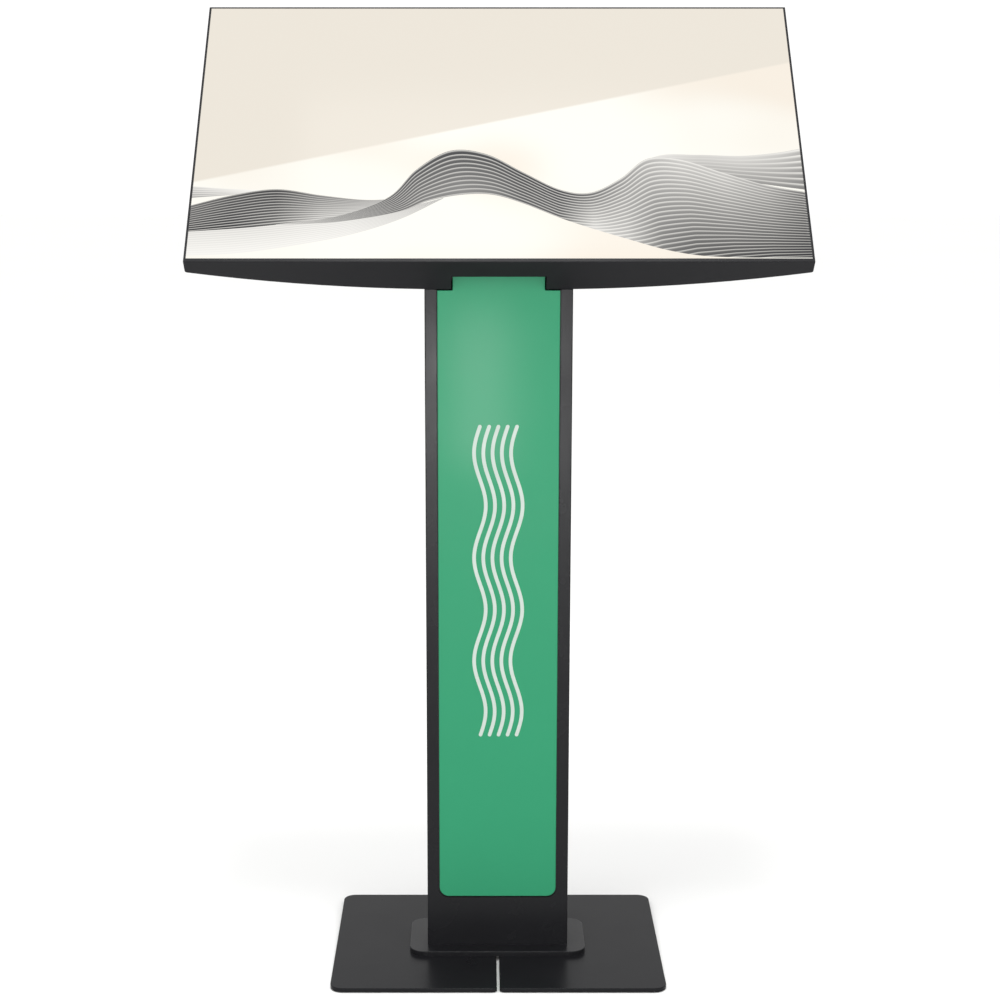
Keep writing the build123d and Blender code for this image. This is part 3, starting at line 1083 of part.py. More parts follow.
SCREW_RADIUS = 3.0
SCREW_HEAD_RADIUS = 5.5
SCREW_HEAD = 2.5
SCREW_COVER = 1.5            # foot plate left above the blind screws
SCREW_END = COLUMN_Z - SCREW_COVER
for side, name in ((-1, "base_plate_left"), (1, "base_plate_right")):
    with BuildPart() as plate:
        extrude(base_plate(side).moved(Location((0, 0, BASE_Z))), amount=BASE_PLATE)
        upright_rods(near_side(FOOT_BOLTS, side), BOLT_RADIUS, (BASE_Z, FOOT_Z), Mode.SUBTRACT)
        upright_rods(near_side(BASE_SCREWS, side), SCREW_RADIUS, (BASE_Z, FOOT_Z), Mode.SUBTRACT)
        upright_rods(near_side(BASE_SCREWS, side), SCREW_HEAD_RADIUS, (BASE_Z, BASE_Z + SCREW_HEAD),
                     Mode.SUBTRACT)
        rim = plate.edges().filter_by(
            lambda e: abs(e.center().Z - FOOT_Z) < 0.01 and e.length > 3 * BOLT_HEAD_RADIUS
        )
        fillet(rim, PLATE_ROUND)
    save(plate, name)

with BuildPart() as base_pads:
    for side in (-1, 1):
        extrude(base_plate(side, PAD_INSET), amount=PAD_THICKNESS)
save(base_pads, "base_pads")

with BuildPart() as foot_plate:
    with BuildSketch(Plane((0, COLUMN_MIDDLE, FOOT_Z))):
        RectangleRounded(FOOT_WIDTH, FOOT_DEPTH, FOOT_CORNER)
    extrude(amount=FOOT_PLATE)
    fillet(foot_plate.faces().sort_by(Axis.Z)[-1].edges(), PLATE_ROUND)
    upright_rods(FOOT_BOLTS, BOLT_RADIUS, (FOOT_Z, COLUMN_Z), Mode.SUBTRACT)
    upright_rods(BASE_SCREWS, SCREW_RADIUS, (FOOT_Z, SCREW_END), Mode.SUBTRACT)
save(foot_plate, "foot_plate")

with BuildPart() as column_foot_flange:
    flange_z = (COLUMN_Z, COLUMN_Z + FLANGE_PLATE)
    flange_half = COLUMN_WIDTH / 2 - COLUMN_WALL
    flange_y = (behind(COLUMN_WALL), behind(COLUMN_DEPTH - COLUMN_WALL))
    block((-flange_half, flange_half), flange_y, flange_z)
    upright_rods(FOOT_BOLTS, BOLT_RADIUS, flange_z, Mode.SUBTRACT)
save(column_foot_flange, "column_foot_flange")

with BuildPart() as foot_bolts:
    upright_rods(FOOT_BOLTS, BOLT_RADIUS, (BASE_Z, flange_z[1]))
    upright_rods(FOOT_BOLTS, BOLT_HEAD_RADIUS, (flange_z[1], flange_z[1] + BOLT_HEAD))
save(foot_bolts, "foot_bolts")

with BuildPart() as base_screws:
    upright_rods(BASE_SCREWS, SCREW_HEAD_RADIUS, (BASE_Z, BASE_Z + SCREW_HEAD))
    upright_rods(BASE_SCREWS, SCREW_RADIUS, (BASE_Z + SCREW_HEAD, SCREW_END))
save(base_screws, "base_screws")

print(f"{len(written)} parts")
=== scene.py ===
import math

import bmesh
import bpy
import numpy as np
from bpy.props import FloatProperty, FloatVectorProperty, IntProperty, PointerProperty
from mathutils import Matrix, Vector


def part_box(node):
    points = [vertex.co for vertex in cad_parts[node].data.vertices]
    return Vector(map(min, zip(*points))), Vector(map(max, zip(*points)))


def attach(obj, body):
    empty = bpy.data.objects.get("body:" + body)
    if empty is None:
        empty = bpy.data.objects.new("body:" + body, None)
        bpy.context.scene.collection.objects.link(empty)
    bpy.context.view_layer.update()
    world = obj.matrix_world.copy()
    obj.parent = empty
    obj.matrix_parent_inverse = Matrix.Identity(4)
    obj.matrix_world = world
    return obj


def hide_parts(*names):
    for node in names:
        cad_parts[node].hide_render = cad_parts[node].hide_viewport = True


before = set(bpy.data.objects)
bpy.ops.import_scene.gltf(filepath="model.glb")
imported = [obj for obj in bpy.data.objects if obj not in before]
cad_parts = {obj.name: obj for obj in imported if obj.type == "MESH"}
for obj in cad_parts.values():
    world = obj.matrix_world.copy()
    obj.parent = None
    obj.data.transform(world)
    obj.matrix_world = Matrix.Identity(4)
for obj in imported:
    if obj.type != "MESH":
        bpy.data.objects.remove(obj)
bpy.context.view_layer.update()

bl_info = {
    "name": "Touchscreen kiosk",
    "version": (1, 0, 0),
    "blender": (4, 5, 0),
    "location": "3D View > Sidebar > Kiosk",
    "description": "Builds the surfaces, finishes and stage of a touchscreen kiosk over its packed frame",
    "category": "Object",
}

MM = 0.001
SLOPE = math.sqrt(0.5)       # sine and cosine of the head's 45 degrees
GLASS_THICKNESS = 4.0 * MM
GLASS_EDGE = 0.6 * MM        # ground edge that the frame's glass has
BACK_DEPTH = 50.0 * MM       # glass face to the flat middle of the head's back
BACK_FLAT = 50.0 * MM        # half width of that flat
BACK_RADIUS = 1595.6 * MM    # of the bow on each side of it
COVER_LIFT = 1.5 * MM        # sheet of the service covers

GLASS_LOW_CORNER, GLASS_HIGH_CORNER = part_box("touch_glass")
GLASS_LENGTH = (GLASS_HIGH_CORNER.z - GLASS_LOW_CORNER.z) / SLOPE - GLASS_THICKNESS + GLASS_EDGE
GLASS_FOOT_Y = GLASS_LOW_CORNER.y - GLASS_EDGE * SLOPE
GLASS_FOOT_Z = GLASS_LOW_CORNER.z + GLASS_THICKNESS * SLOPE
GLASS_HALF = GLASS_HIGH_CORNER.x
GLASS_START = 4.75 * MM      # up the slope, from the housing's lower edge to the glass's
GLASS_CORNER = 0.8 * MM      # rounding of the glass's corners
BEAD_OUTSET = 0.05 * MM      # of the seal's middle line round the glass's outline
BEAD_CORNER = 0.9 * MM
BEAD_RADIUS = 0.28 * MM
BEAD_DEPTH = 0.4 * MM        # of the seal's middle line behind the face
PICTURE_MARGIN = 0.6 * MM    # from the glass's edge to the picture
PANEL_LOW, PANEL_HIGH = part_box("brand_panel")
PANEL_CORNER = 11.5 * MM     # rounding of the panel's lower corners
PANEL_ROUND = 1.0 * MM       # rounding of its other corners
SHOULDER_Z = 829.0 * MM      # where the panel narrows to its tongue
TONGUE_HALF = 54.0 * MM

# Places on the head's back: across, and up the slope from the housing's lower edge
COVER_SCREWS_X = (-296, 296, -128, 128)
COVER_SCREWS_UP = (94, 200, 306)
BUTTON_X = -105.0 * MM
BUTTON_UP = 45.0 * MM
BEZEL_LIFT = 0.9 * MM        # of the power button's bezel over the back
LAMP_RADIUS = 6.4 * MM       # of the circle that the lamp ring's oval bead follows
LAMP_HALF_WIDTH = 0.5 * MM
LAMP_HEIGHT = 0.35 * MM

LEAF_MIDDLE = 7.5 * MM       # from a hinge leaf's outer edge to its screws
LEAF_SHEET = 1.5 * MM
HINGE_LENGTH = 60.0 * MM
HINGE_SCREWS_UP = (-21, 21)  # from the middle of a hinge
DOOR_SEAL_CORNER = 3.0 * MM
FLOOR_HALF = 15.0


def linear(hex_colour):
    """Linear RGB of an sRGB hex colour: up to 0.04045 it is divided by 12.92, the rest follows a power of
    2.4."""
    code = np.array([int(hex_colour[i:i + 2], 16) for i in (1, 3, 5)]) / 255
    return tuple(np.where(code <= 0.04045, code / 12.92, ((code + 0.055) / 1.055) ** 2.4))


def opaque(colour):
    """A colour setting with its fourth value, as sockets want it."""
    return (*colour, 1.0)


# ---------------------------------------------------------------- settings


def length_setting(name, description, length):
    """A setting in units of length."""
    return FloatProperty(
        name=name, description=description, default=length, subtype="DISTANCE", unit="LENGTH")


def colour_setting(name, description, hex_colour):
    """A setting that is a colour."""
    return FloatVectorProperty(
        name=name, description=description, default=linear(hex_colour), subtype="COLOR", size=3, min=0, max=1)


class KioskScreenSettings(bpy.types.PropertyGroup):
    """Sizes and colours of the screen and its picture."""

    recess: length_setting("Glass recess", "How far the glass lies below the housing's lip", 0.15 * MM)
    arris: length_setting("Glass arris", "Radius of the glass's polished edge", 0.5 * MM)
    layer: length_setting("Picture layer step", "Step between the picture's layers", 0.02 * MM)
    sky_colour: colour_setting("Sky", "Shaded part of the picture's sky", "#EDE6DA")
    light_colour: colour_setting("Light", "Bright part of the picture's sky", "#FFFDF5")
    ridge_colour: colour_setting("Ridges", "Light side of the picture's ridges", "#F0EEE8")
    groove_colour: colour_setting("Grooves", "Dark side of the picture's ridges", "#2E2E32")


class KioskColumnSettings(bpy.types.PropertyGroup):
    """Sizes and colours of the column's panel and its graphic."""

    edge: length_setting("Panel edge", "Radius of the panel's polished front edge", 0.5 * MM)
    panel_colour: colour_setting("Panel", "Colour of the acrylic panel", "#27805B")
    wave_colour: colour_setting("Waves", "Colour of the cut vinyl", "#AAB6AE")
    wave_count: IntProperty(
        name="Waves across", description="Number of wavy ribbons", default=5, min=1, max=9)
    wave_pitch: length_setting("Wave pitch", "Distance between neighbouring ribbons", 11.0 * MM)
    wave_length: length_setting("Wave height", "Height of one full wave", 128.0 * MM)
    wave_swing: length_setting("Wave swing", "Sideways reach of the wave", 7.0 * MM)
    wave_stroke: length_setting("Wave width", "Width of one ribbon", 4.4 * MM)
    coat_colour: colour_setting("Powder coat", "Colour of the powder coat", "#171719")


class KioskFixingSettings(bpy.types.PropertyGroup):
    """Sizes of the screws, the lamp ring and the door's seal."""

    head_radius: length_setting("Screw head radius", "Radius of the covers' button-head screws", 2.9 * MM)
    head_height: length_setting("Screw head height", "Height of the covers' button-head screws", 1.35 * MM)
    leaf_head_radius: length_setting("Hinge screw radius", "Radius of the hinge screws' heads", 2.6 * MM)
    leaf_head_height: length_setting("Hinge screw height", "Height of the hinge screws' heads", 0.8 * MM)
    socket: length_setting("Socket", "Distance from the middle of the hexagon socket to its flats", 1.0 * MM)
    seal_width: length_setting("Seal width", "Width of the foam strip round the door", 4.5 * MM)
    seal_height: length_setting("Seal height", "Height of the foam strip's crown", 0.42 * MM)
    seal_inset: length_setting("Seal inset", "From the stop frame's outer edge to the foam strip", 4.7 * MM)
    lamp_colour: colour_setting("Lamp ring", "Light of the ring round the power button", "#BFE6FF")


class KioskStageSettings(bpy.types.PropertyGroup):
    """Floor, light and camera."""

    floor_colour: colour_setting("Floor", "Colour of the floor", "#F8F8F7")
    world_strength: FloatProperty(
        name="Surroundings", description="Brightness all round", default=1.08, min=0)
    key_power: FloatProperty(
        name="Key light", description="Power of the large softbox", default=15.0, min=0, unit="POWER")
    lens: FloatProperty(
        name="Lens", description="Focal length on a 36 mm sensor, in millimetres", default=72.41, min=1)
    pitch: FloatProperty(
        name="Camera pitch", description="Angle that the camera looks down by",
        default=math.radians(11.57), subtype="ANGLE", unit="ROTATION")
    camera_place: FloatVectorProperty(
        name="Camera place", description="Where the camera stands", subtype="XYZ", unit="LENGTH", size=3,
        default=(-23.0 * MM, -2442.6 * MM, 1060.5 * MM))
    shift: FloatProperty(
        name="Sideways shift", description="Lens shift, as a share of the width", default=0.0209)


# ---------------------------------------------------------------- shapes


def head_place(across, up, behind):
    """Points of the head: up the slope adds equal shares of y and z, behind the glass adds y and takes z."""
    y = GLASS_FOOT_Y + SLOPE * (up + behind)
    z = GLASS_FOOT_Z + SLOPE * (up - behind)
    return np.stack(np.broadcast_arrays(across, y, z), axis=-1)


def back_place(across, up, lift):
    """Points that stand off the bowed back, and its outward directions. It leans by the angle whose sine is
    the distance off the flat over the radius, and lies behind the glass by the depth, less the radius, plus
    the radius times that angle's cosine."""
    lean = np.sign(across) * np.arcsin((np.abs(across) - BACK_FLAT) / BACK_RADIUS)
    out = np.stack([np.sin(lean), np.cos(lean) * SLOPE, -np.cos(lean) * SLOPE], axis=-1)
    depth = BACK_DEPTH - BACK_RADIUS + BACK_RADIUS * np.cos(lean)
    return head_place(across, up - GLASS_START, depth) + out * lift, out


def grid_faces(rows, columns, wrap=False):
    """Quads between neighbours of a grid of points; wrap joins the last column to the first."""
    i = np.arange(rows - 1)[:, None]
    j = np.arange(columns if wrap else columns - 1)[None, :]
    k = (j + 1) % columns
    low, high = i * columns, (i + 1) * columns
    return np.stack([low + j, low + k, high + k, high + j], axis=-1).reshape(-1, 4).tolist()


def ring_faces(rows, columns):
    """Quads of a grid that closes both ways, such as a bead round a loop."""
    return [[i % (rows * columns) for i in face] for face in grid_faces(rows + 1, columns, wrap=True)]


def add_piece(name, points, faces, body, material, flat=(), closed=True):
    """Puts points and faces in a mesh at the origin, smooth but for the faces listed in flat."""
    mesh = bpy.data.meshes.new(name)
    mesh.from_pydata(np.asarray(points, float).reshape(-1, 3).tolist(), [], faces)
    smooth = np.ones(len(faces), bool)
    smooth[list(flat)] = False
    mesh.polygons.foreach_set("use_smooth", smooth)
    if closed:
        shell = bmesh.new()
        shell.from_mesh(mesh)
        bmesh.ops.recalc_face_normals(shell, faces=shell.faces)
        shell.to_mesh(mesh)
        shell.free()
    mesh.materials.append(material)
    mesh.update()
    piece = bpy.data.objects.new(name, mesh)
    bpy.context.scene.collection.objects.link(piece)
    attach(piece, body)
    return piece


def arc(middle, radius, start, end, steps):
    """Points of a circle's arc, from one angle to another in degrees, both ends included."""
    turn = np.radians(np.linspace(start, end, steps))
    return np.stack([middle[0] + radius * np.cos(turn), middle[1] + radius * np.sin(turn)], axis=-1)


def rounded_rectangle(half_width, low, high, radius, steps=8):
    """Outline of a rectangle with rounded corners: four quarter circles, joined by straight runs."""
    x, bottom, top = half_width - radius, low + radius, high - radius
    return np.concatenate([
        arc((x, bottom), radius, -90, 0, steps), arc((x, top), radius, 0, 90, steps),
        arc((-x, top), radius, 90, 180, steps), arc((-x, bottom), radius, 180, 270, steps)])


def inward(outline):
    """For each point of an anticlockwise outline, the vector that keeps its edges parallel when it moves in:
    the sum of the two edges' inward normals over one plus their product."""
    edge = np.roll(outline, -1, axis=0) - outline
    edge /= np.linalg.norm(edge, axis=1, keepdims=True)
    after = np.stack([-edge[:, 1], edge[:, 0]], axis=-1)
    before = np.roll(after, 1, axis=0)
    return (before + after) / (1 + np.sum(before * after, axis=1, keepdims=True))


def sheet_rings(outline, profile):
    """Rings of a sheet: the outline carried through a profile of pairs of inset and height."""
    profile = np.asarray(profile, float)
    flat = outline[None] + inward(outline)[None] * profile[:, 0, None, None]
    height = np.broadcast_to(profile[:, 1, None], flat.shape[:2])
    return flat[..., 0], flat[..., 1], height


def eased_profile(thickness, back, front, steps=5):
    """Section of a sheet's edge from back to front: a quarter circle of each radius at each side."""
    low = arc((back, back), back, 270, 180, steps) if back > 0 else np.array([[0.0, 0.0]])
    high = arc((front, thickness - front), front, 180, 90, steps)
    return np.concatenate([low, high])


def sheet_faces(rings, count, first=0):
    """Quads between the rings, then one face over each end."""
    faces = [[first + i for i in face] for face in grid_faces(rings, count, wrap=True)]
    last = first + (rings - 1) * count
    return faces + [list(range(first, first + count)), list(range(last, last + count))]


def smooth_line(keys, count):
    """A curve through the keys: each stretch is the cubic that leaves and arrives along half the step
    between the neighbouring keys."""
    keys = np.asarray(keys, float)
    padded = np.concatenate([2 * keys[:1] - keys[1:2], keys, 2 * keys[-1:] - keys[-2:-1]])
    at = np.linspace(0, len(keys) - 1, count)
    stretch = np.minimum(at.astype(int), len(keys) - 2)
    t = (at - stretch)[:, None]
    a, b, c, d = (padded[stretch + i] for i in range(4))
    return 0.5 * (2 * b + (c - a) * t + (2 * a - 5 * b + 4 * c - d) * t**2 + (3 * b - a - 3 * c + d) * t**3)


def button_heads(places, outs, radius, height, socket, turns=24):
    """Domed screw heads with hexagon sockets: each ring's radius goes from a circle to a hexagon, whose
    radius is its flats' distance over the cosine of the angle from the nearest flat."""
    turn = np.linspace(0, 2 * np.pi, turns, endpoint=False)
    hexagon = 1 / np.cos((turn + np.pi / 6) % (np.pi / 3) - np.pi / 6)
    dome = np.linspace(0, 1, 6)
    rings = [(radius, 0.0, 0.0)]
    rings += [(radius - (radius - 1.5 * socket) * s, height * (0.35 + 0.65 * math.sin(s * math.pi / 2)), 0.0)
              for s in dome]
    rings += [(1.06 * socket, height * 0.97, 1.0), (socket, height * 0.9, 1.0),
              (0.96 * socket, height * 0.3, 1.0)]
    size, lift, share = (np.array(column)[:, None] for column in zip(*rings))
    reach = size * (1 + share * (hexagon - 1))
    x, y, h = reach * np.cos(turn), reach * np.sin(turn), np.broadcast_to(lift, reach.shape)
    points, faces, flat = [], [], []
    for place, out in zip(places, outs):
        out = Vector(out).normalized()
        along = out.orthogonal().normalized()
        side = out.cross(along)
        faces += sheet_faces(len(rings), turns, first=len(points) * len(rings) * turns)
        flat += [len(faces) - 1, len(faces) - 2]
        points.append(np.array(place) + x[..., None] * along + y[..., None] * side + h[..., None] * out)
    return np.concatenate(points), faces, flat


# ---------------------------------------------------------------- finishes


def add(material, kind, inputs=None, **settings):
    """Adds one node. Settings go on the node; each input gets a value, or a link if it is given a socket."""
    node = material.node_tree.nodes.new(kind)
    for name, value in settings.items():
        setattr(node, name, value)
    for name, value in (inputs or {}).items():
        if isinstance(value, bpy.types.NodeSocket):
            material.node_tree.links.new(value, node.inputs[name])
        else:
            node.inputs[name].default_value = value
    return node


def new_finish(name, **sockets):
    """A material with its shader, the shader's sockets set, and Object coordinates."""
    material = bpy.data.materials.new(name)
    material.use_nodes = True
    shader = material.node_tree.nodes["Principled BSDF"]
    for socket, value in sockets.items():
        shader.inputs[socket.replace("_", " ")].default_value = value
    place = add(material, "ShaderNodeTexCoord").outputs["Object"]
    return material, shader, place


def join(material, source, target):
    """Links one socket to another."""
    material.node_tree.links.new(source, target)


def mix(material, share, first, second):
    """The colour that lies a share of the way from the first to the second."""
    node = add(material, "ShaderNodeMix", {"Factor": share, "A": first, "B": second}, data_type="RGBA")
    return node.outputs["Result"]


def remap(material, value, low, high, new_low=0.0, new_high=1.0, ease="LINEAR"):
    """The value taken from one range to another, and held at its ends."""
    node = add(material, "ShaderNodeMapRange", {
        "Value": value, "From Min": low, "From Max": high, "To Min": new_low, "To Max": new_high},
        interpolation_type=ease)
    return node.outputs["Result"]


def work_out(material, operation, *values):
    """One step of arithmetic on numbers and sockets."""
    return add(material, "ShaderNodeMath", dict(enumerate(values)), operation=operation).outputs[0]


def noise(material, place, scale, detail):
    """A cloudy pattern between 0 and 1."""
    node = add(material, "ShaderNodeTexNoise", {"Vector": place, "Scale": scale, "Detail": detail})
    return node.outputs["Fac"]


def grained(material, shader, place, colour, shade, roughness, spread, patch, grain, depth):
    """Colour and roughness that drift over patches of one size, and a bump of a finer grain, in metres."""
    drift = noise(material, place, 1 / patch, 4.0)
    tint = mix(material, drift, opaque(colour), opaque([c * shade for c in colour]))
    join(material, tint, shader.inputs["Base Color"])
    rough = remap(material, drift, 0.3, 0.7, roughness - spread, roughness + spread)
    join(material, rough, shader.inputs["Roughness"])
    fine = noise(material, place, 1 / grain, 2.0)
    bump = add(material, "ShaderNodeBump", {"Height": fine, "Distance": depth, "Strength": 1.0})
    join(material, bump.outputs["Normal"], shader.inputs["Normal"])


def powder_coat(name, colour, roughness, specular):
    """Steel sheet, sprayed with powder and baked: satin, with the faint orange peel of the melted grains,
    drawn at 2 mm where the real peel is near 1 mm, so that it shows."""
    material, shader, place = new_finish(name, Specular_IOR_Level=specular)
    grained(material, shader, place, colour, 1.25, roughness, 0.03, 60 * MM, 2 * MM, 0.012 * MM)
    return material


def plated(name, colour, roughness, patch, grain, depth):
    """Bare or plated metal: full metallic, with cloudy roughness from the bath and a fine grain."""
    material, shader, place = new_finish(name, Metallic=1.0)
    grained(material, shader, place, colour, 0.85, roughness, 0.06, patch, grain, depth)
    return material


def moulded(name, colour, roughness, grain, depth):
    """Moulded plastic or rubber: an even skin with the fine spark-eroded grain of its mould."""
    material, shader, place = new_finish(name)
    grained(material, shader, place, colour, 1.15, roughness, 0.04, 30 * MM, grain, depth)
    return material


def board_finish():
    """Solder-masked fibreglass board: green gloss over copper tracks, seen as a faint brick-like routing."""
    material, shader, place = new_finish("solder_masked_board", Roughness=0.35)
    tracks = add(material, "ShaderNodeTexBrick", {
        "Vector": place, "Color1": opaque(linear("#0E4A2A")), "Color2": opaque(linear("#145C36")),
        "Mortar": opaque(linear("#2A7A50")), "Scale": 1.0, "Mortar Size": 0.0004, "Brick Width": 0.012,
        "Row Height": 0.0025})
    join(material, tracks.outputs["Color"], shader.inputs["Base Color"])
    return material


def finned_metal(name, colour, spacing):
    """Extruded aluminium: fine straight lines left by the die, across one axis. At a scale of 1 the texture
    repeats every tenth of pi."""
    material, shader, place = new_finish(name, Metallic=1.0, Roughness=0.38)
    lines = add(material, "ShaderNodeTexWave", {
        "Vector": place, "Scale": 0.1 * math.pi / spacing, "Distortion": 1.5, "Detail": 2.0},
        bands_direction="X")
    tint = mix(material, lines.outputs["Fac"], opaque(colour), opaque([c * 0.85 for c in colour]))
    join(material, tint, shader.inputs["Base Color"])
    return material


def acrylic_finish(colour):
    """Cast acrylic sheet with a satin face: deep even colour, and one broad soft highlight."""
    material, shader, place = new_finish("cast_acrylic", Specular_IOR_Level=0.12, Coat_Weight=0.025,
                                         Coat_Roughness=0.13)
    grained(material, shader, place, colour, 1.06, 0.4, 0.03, 90 * MM, 25 * MM, 0.01 * MM)
    return material


def vinyl_finish(colour):
    """Cut vinyl film: matt, with the slight stipple of its cast face, drawn at 1.5 mm where it is finer."""
    material, shader, place = new_finish("cut_vinyl")
    grained(material, shader, place, colour, 0.94, 0.48, 0.05, 20 * MM, 1.5 * MM, 0.008 * MM)
    return material


def lit(material, shader, colour):
    """A picture that shines through polished glass: its colour is emitted, and the face reflects as glass."""
    join(material, colour, shader.inputs["Emission Color"])
    shader.inputs["Emission Strength"].default_value = 1.0
    shader.inputs["Base Color"].default_value = (0.004, 0.004, 0.004, 1.0)
    shader.inputs["Roughness"].default_value = 0.12
    shader.inputs["Specular IOR Level"].default_value = 0.025


def picture_map(material):
    """The picture's own map as a socket, and its shares across and up."""
    uv = add(material, "ShaderNodeUVMap", uv_map="UVMap").outputs["UV"]
    split = add(material, "ShaderNodeSeparateXYZ", {"Vector": uv})
    return uv, split.outputs["X"], split.outputs["Y"]


def sky_finish(shade, light):
    """The picture's sky: a bright field under a slanting edge, a warmer shade above it and a blush below."""
    material, shader, _ = new_finish("lit_screen_sky")
    uv, across, up = picture_map(material)
    over = work_out(material, "SUBTRACT", up, work_out(material, "MULTIPLY_ADD", across, 0.48, 0.285))
    edge = remap(material, over, -0.004, 0.008, ease="SMOOTHSTEP")
    high = remap(material, over, 0.0, 0.75, 1.0, 0.93)
    upper = mix(material, high, opaque([c * 0.93 for c in shade]), opaque(shade))
    blush = remap(material, noise(material, uv, 2.2, 1.0), 0.42, 0.68, ease="SMOOTHSTEP")
    lower = mix(material, blush, opaque(light), opaque(linear("#F8EFE2")))
    lit(material, shader, mix(material, edge, lower, upper))
    return material


def ridge_finish(name, lines, groove, ridge):
    """The picture's ribbed dunes: each line runs from a dark groove to a light ridge and starts again. The
    attribute 'depth' says how strongly the lines are drawn, and 'tone' how light the surface between is."""
    material, shader, _ = new_finish(name)
    up = picture_map(material)[2]
    saw = work_out(material, "FRACT", work_out(material, "MULTIPLY", up, float(lines)))
    rise = remap(material, saw, 0.3, 0.88, ease="SMOOTHSTEP")
    wave = work_out(material, "MULTIPLY", rise, remap(material, saw, 0.9, 1.0, 1.0, 0.0))
    depth = add(material, "ShaderNodeAttribute", attribute_name="depth").outputs["Fac"]
    tone = add(material, "ShaderNodeAttribute", attribute_name="tone").outputs["Fac"]
    # Grooves widen where the surface is dark: the line is raised to the power 3.5 less 2.5 times its tone
    line = work_out(material, "POWER", wave, work_out(material, "MULTIPLY_ADD", tone, -2.5, 3.5))
    light = mix(material, tone, opaque([c * 0.45 for c in ridge]), opaque(ridge))
    ribs = mix(material, line, opaque(groove), light)
    plain = mix(material, tone, opaque(linear("#8A8886")), opaque(linear("#FFFDF8")))
    lit(material, shader, mix(material, depth, plain, ribs))
    return material


# ---------------------------------------------------------------- operators


class KIOSK_OT_screen_glass(bpy.types.Operator):
    """Makes the cover glass with its polished arris, and the thin seal round it."""

    bl_idname = "kiosk.screen_glass"
    bl_label = "Screen glass"

    def execute(self, context):
        settings = context.scene.kiosk_screen
        # Float glass over a black border: near mirror, with the faint waves of its rolling
        material, shader, place = new_finish("float_glass")
        grained(material, shader, place, linear("#141516"), 1.1, 0.06, 0.02, 80 * MM, 10 * MM, 0.001 * MM)
        outline = rounded_rectangle(GLASS_HALF, 0, GLASS_LENGTH, GLASS_CORNER)
        thick = GLASS_THICKNESS - settings.recess
        x, up, height = sheet_rings(outline, eased_profile(thick, 0.3 * MM, settings.arris))
        points = head_place(x, up, GLASS_THICKNESS - height)
        faces = sheet_faces(len(x), len(outline))
        glass = add_piece("screen_glass", points, faces, "root", material,
                          flat=(len(faces) - 1, len(faces) - 2))
        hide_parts("touch_glass")

        # Seal: a round bead carried along the glass's outline, a little outside it. It is cast silicone,
        # matt black, so the joint reads as a dark line
        seal_finish = moulded("silicone_seal", linear("#121212"), 0.45, 1 * MM, 0.004 * MM)
        outline = rounded_rectangle(GLASS_HALF + BEAD_OUTSET, -BEAD_OUTSET, GLASS_LENGTH + BEAD_OUTSET,
                                    BEAD_CORNER)
        section = arc((0.0, GLASS_THICKNESS - BEAD_DEPTH), BEAD_RADIUS, 0, 315, 8)
        x, up, height = sheet_rings(outline, section)
        points = head_place(x, up, GLASS_THICKNESS - height)
        add_piece("screen_seal", points, ring_faces(*x.shape), "root", seal_finish)
        return {"FINISHED"}


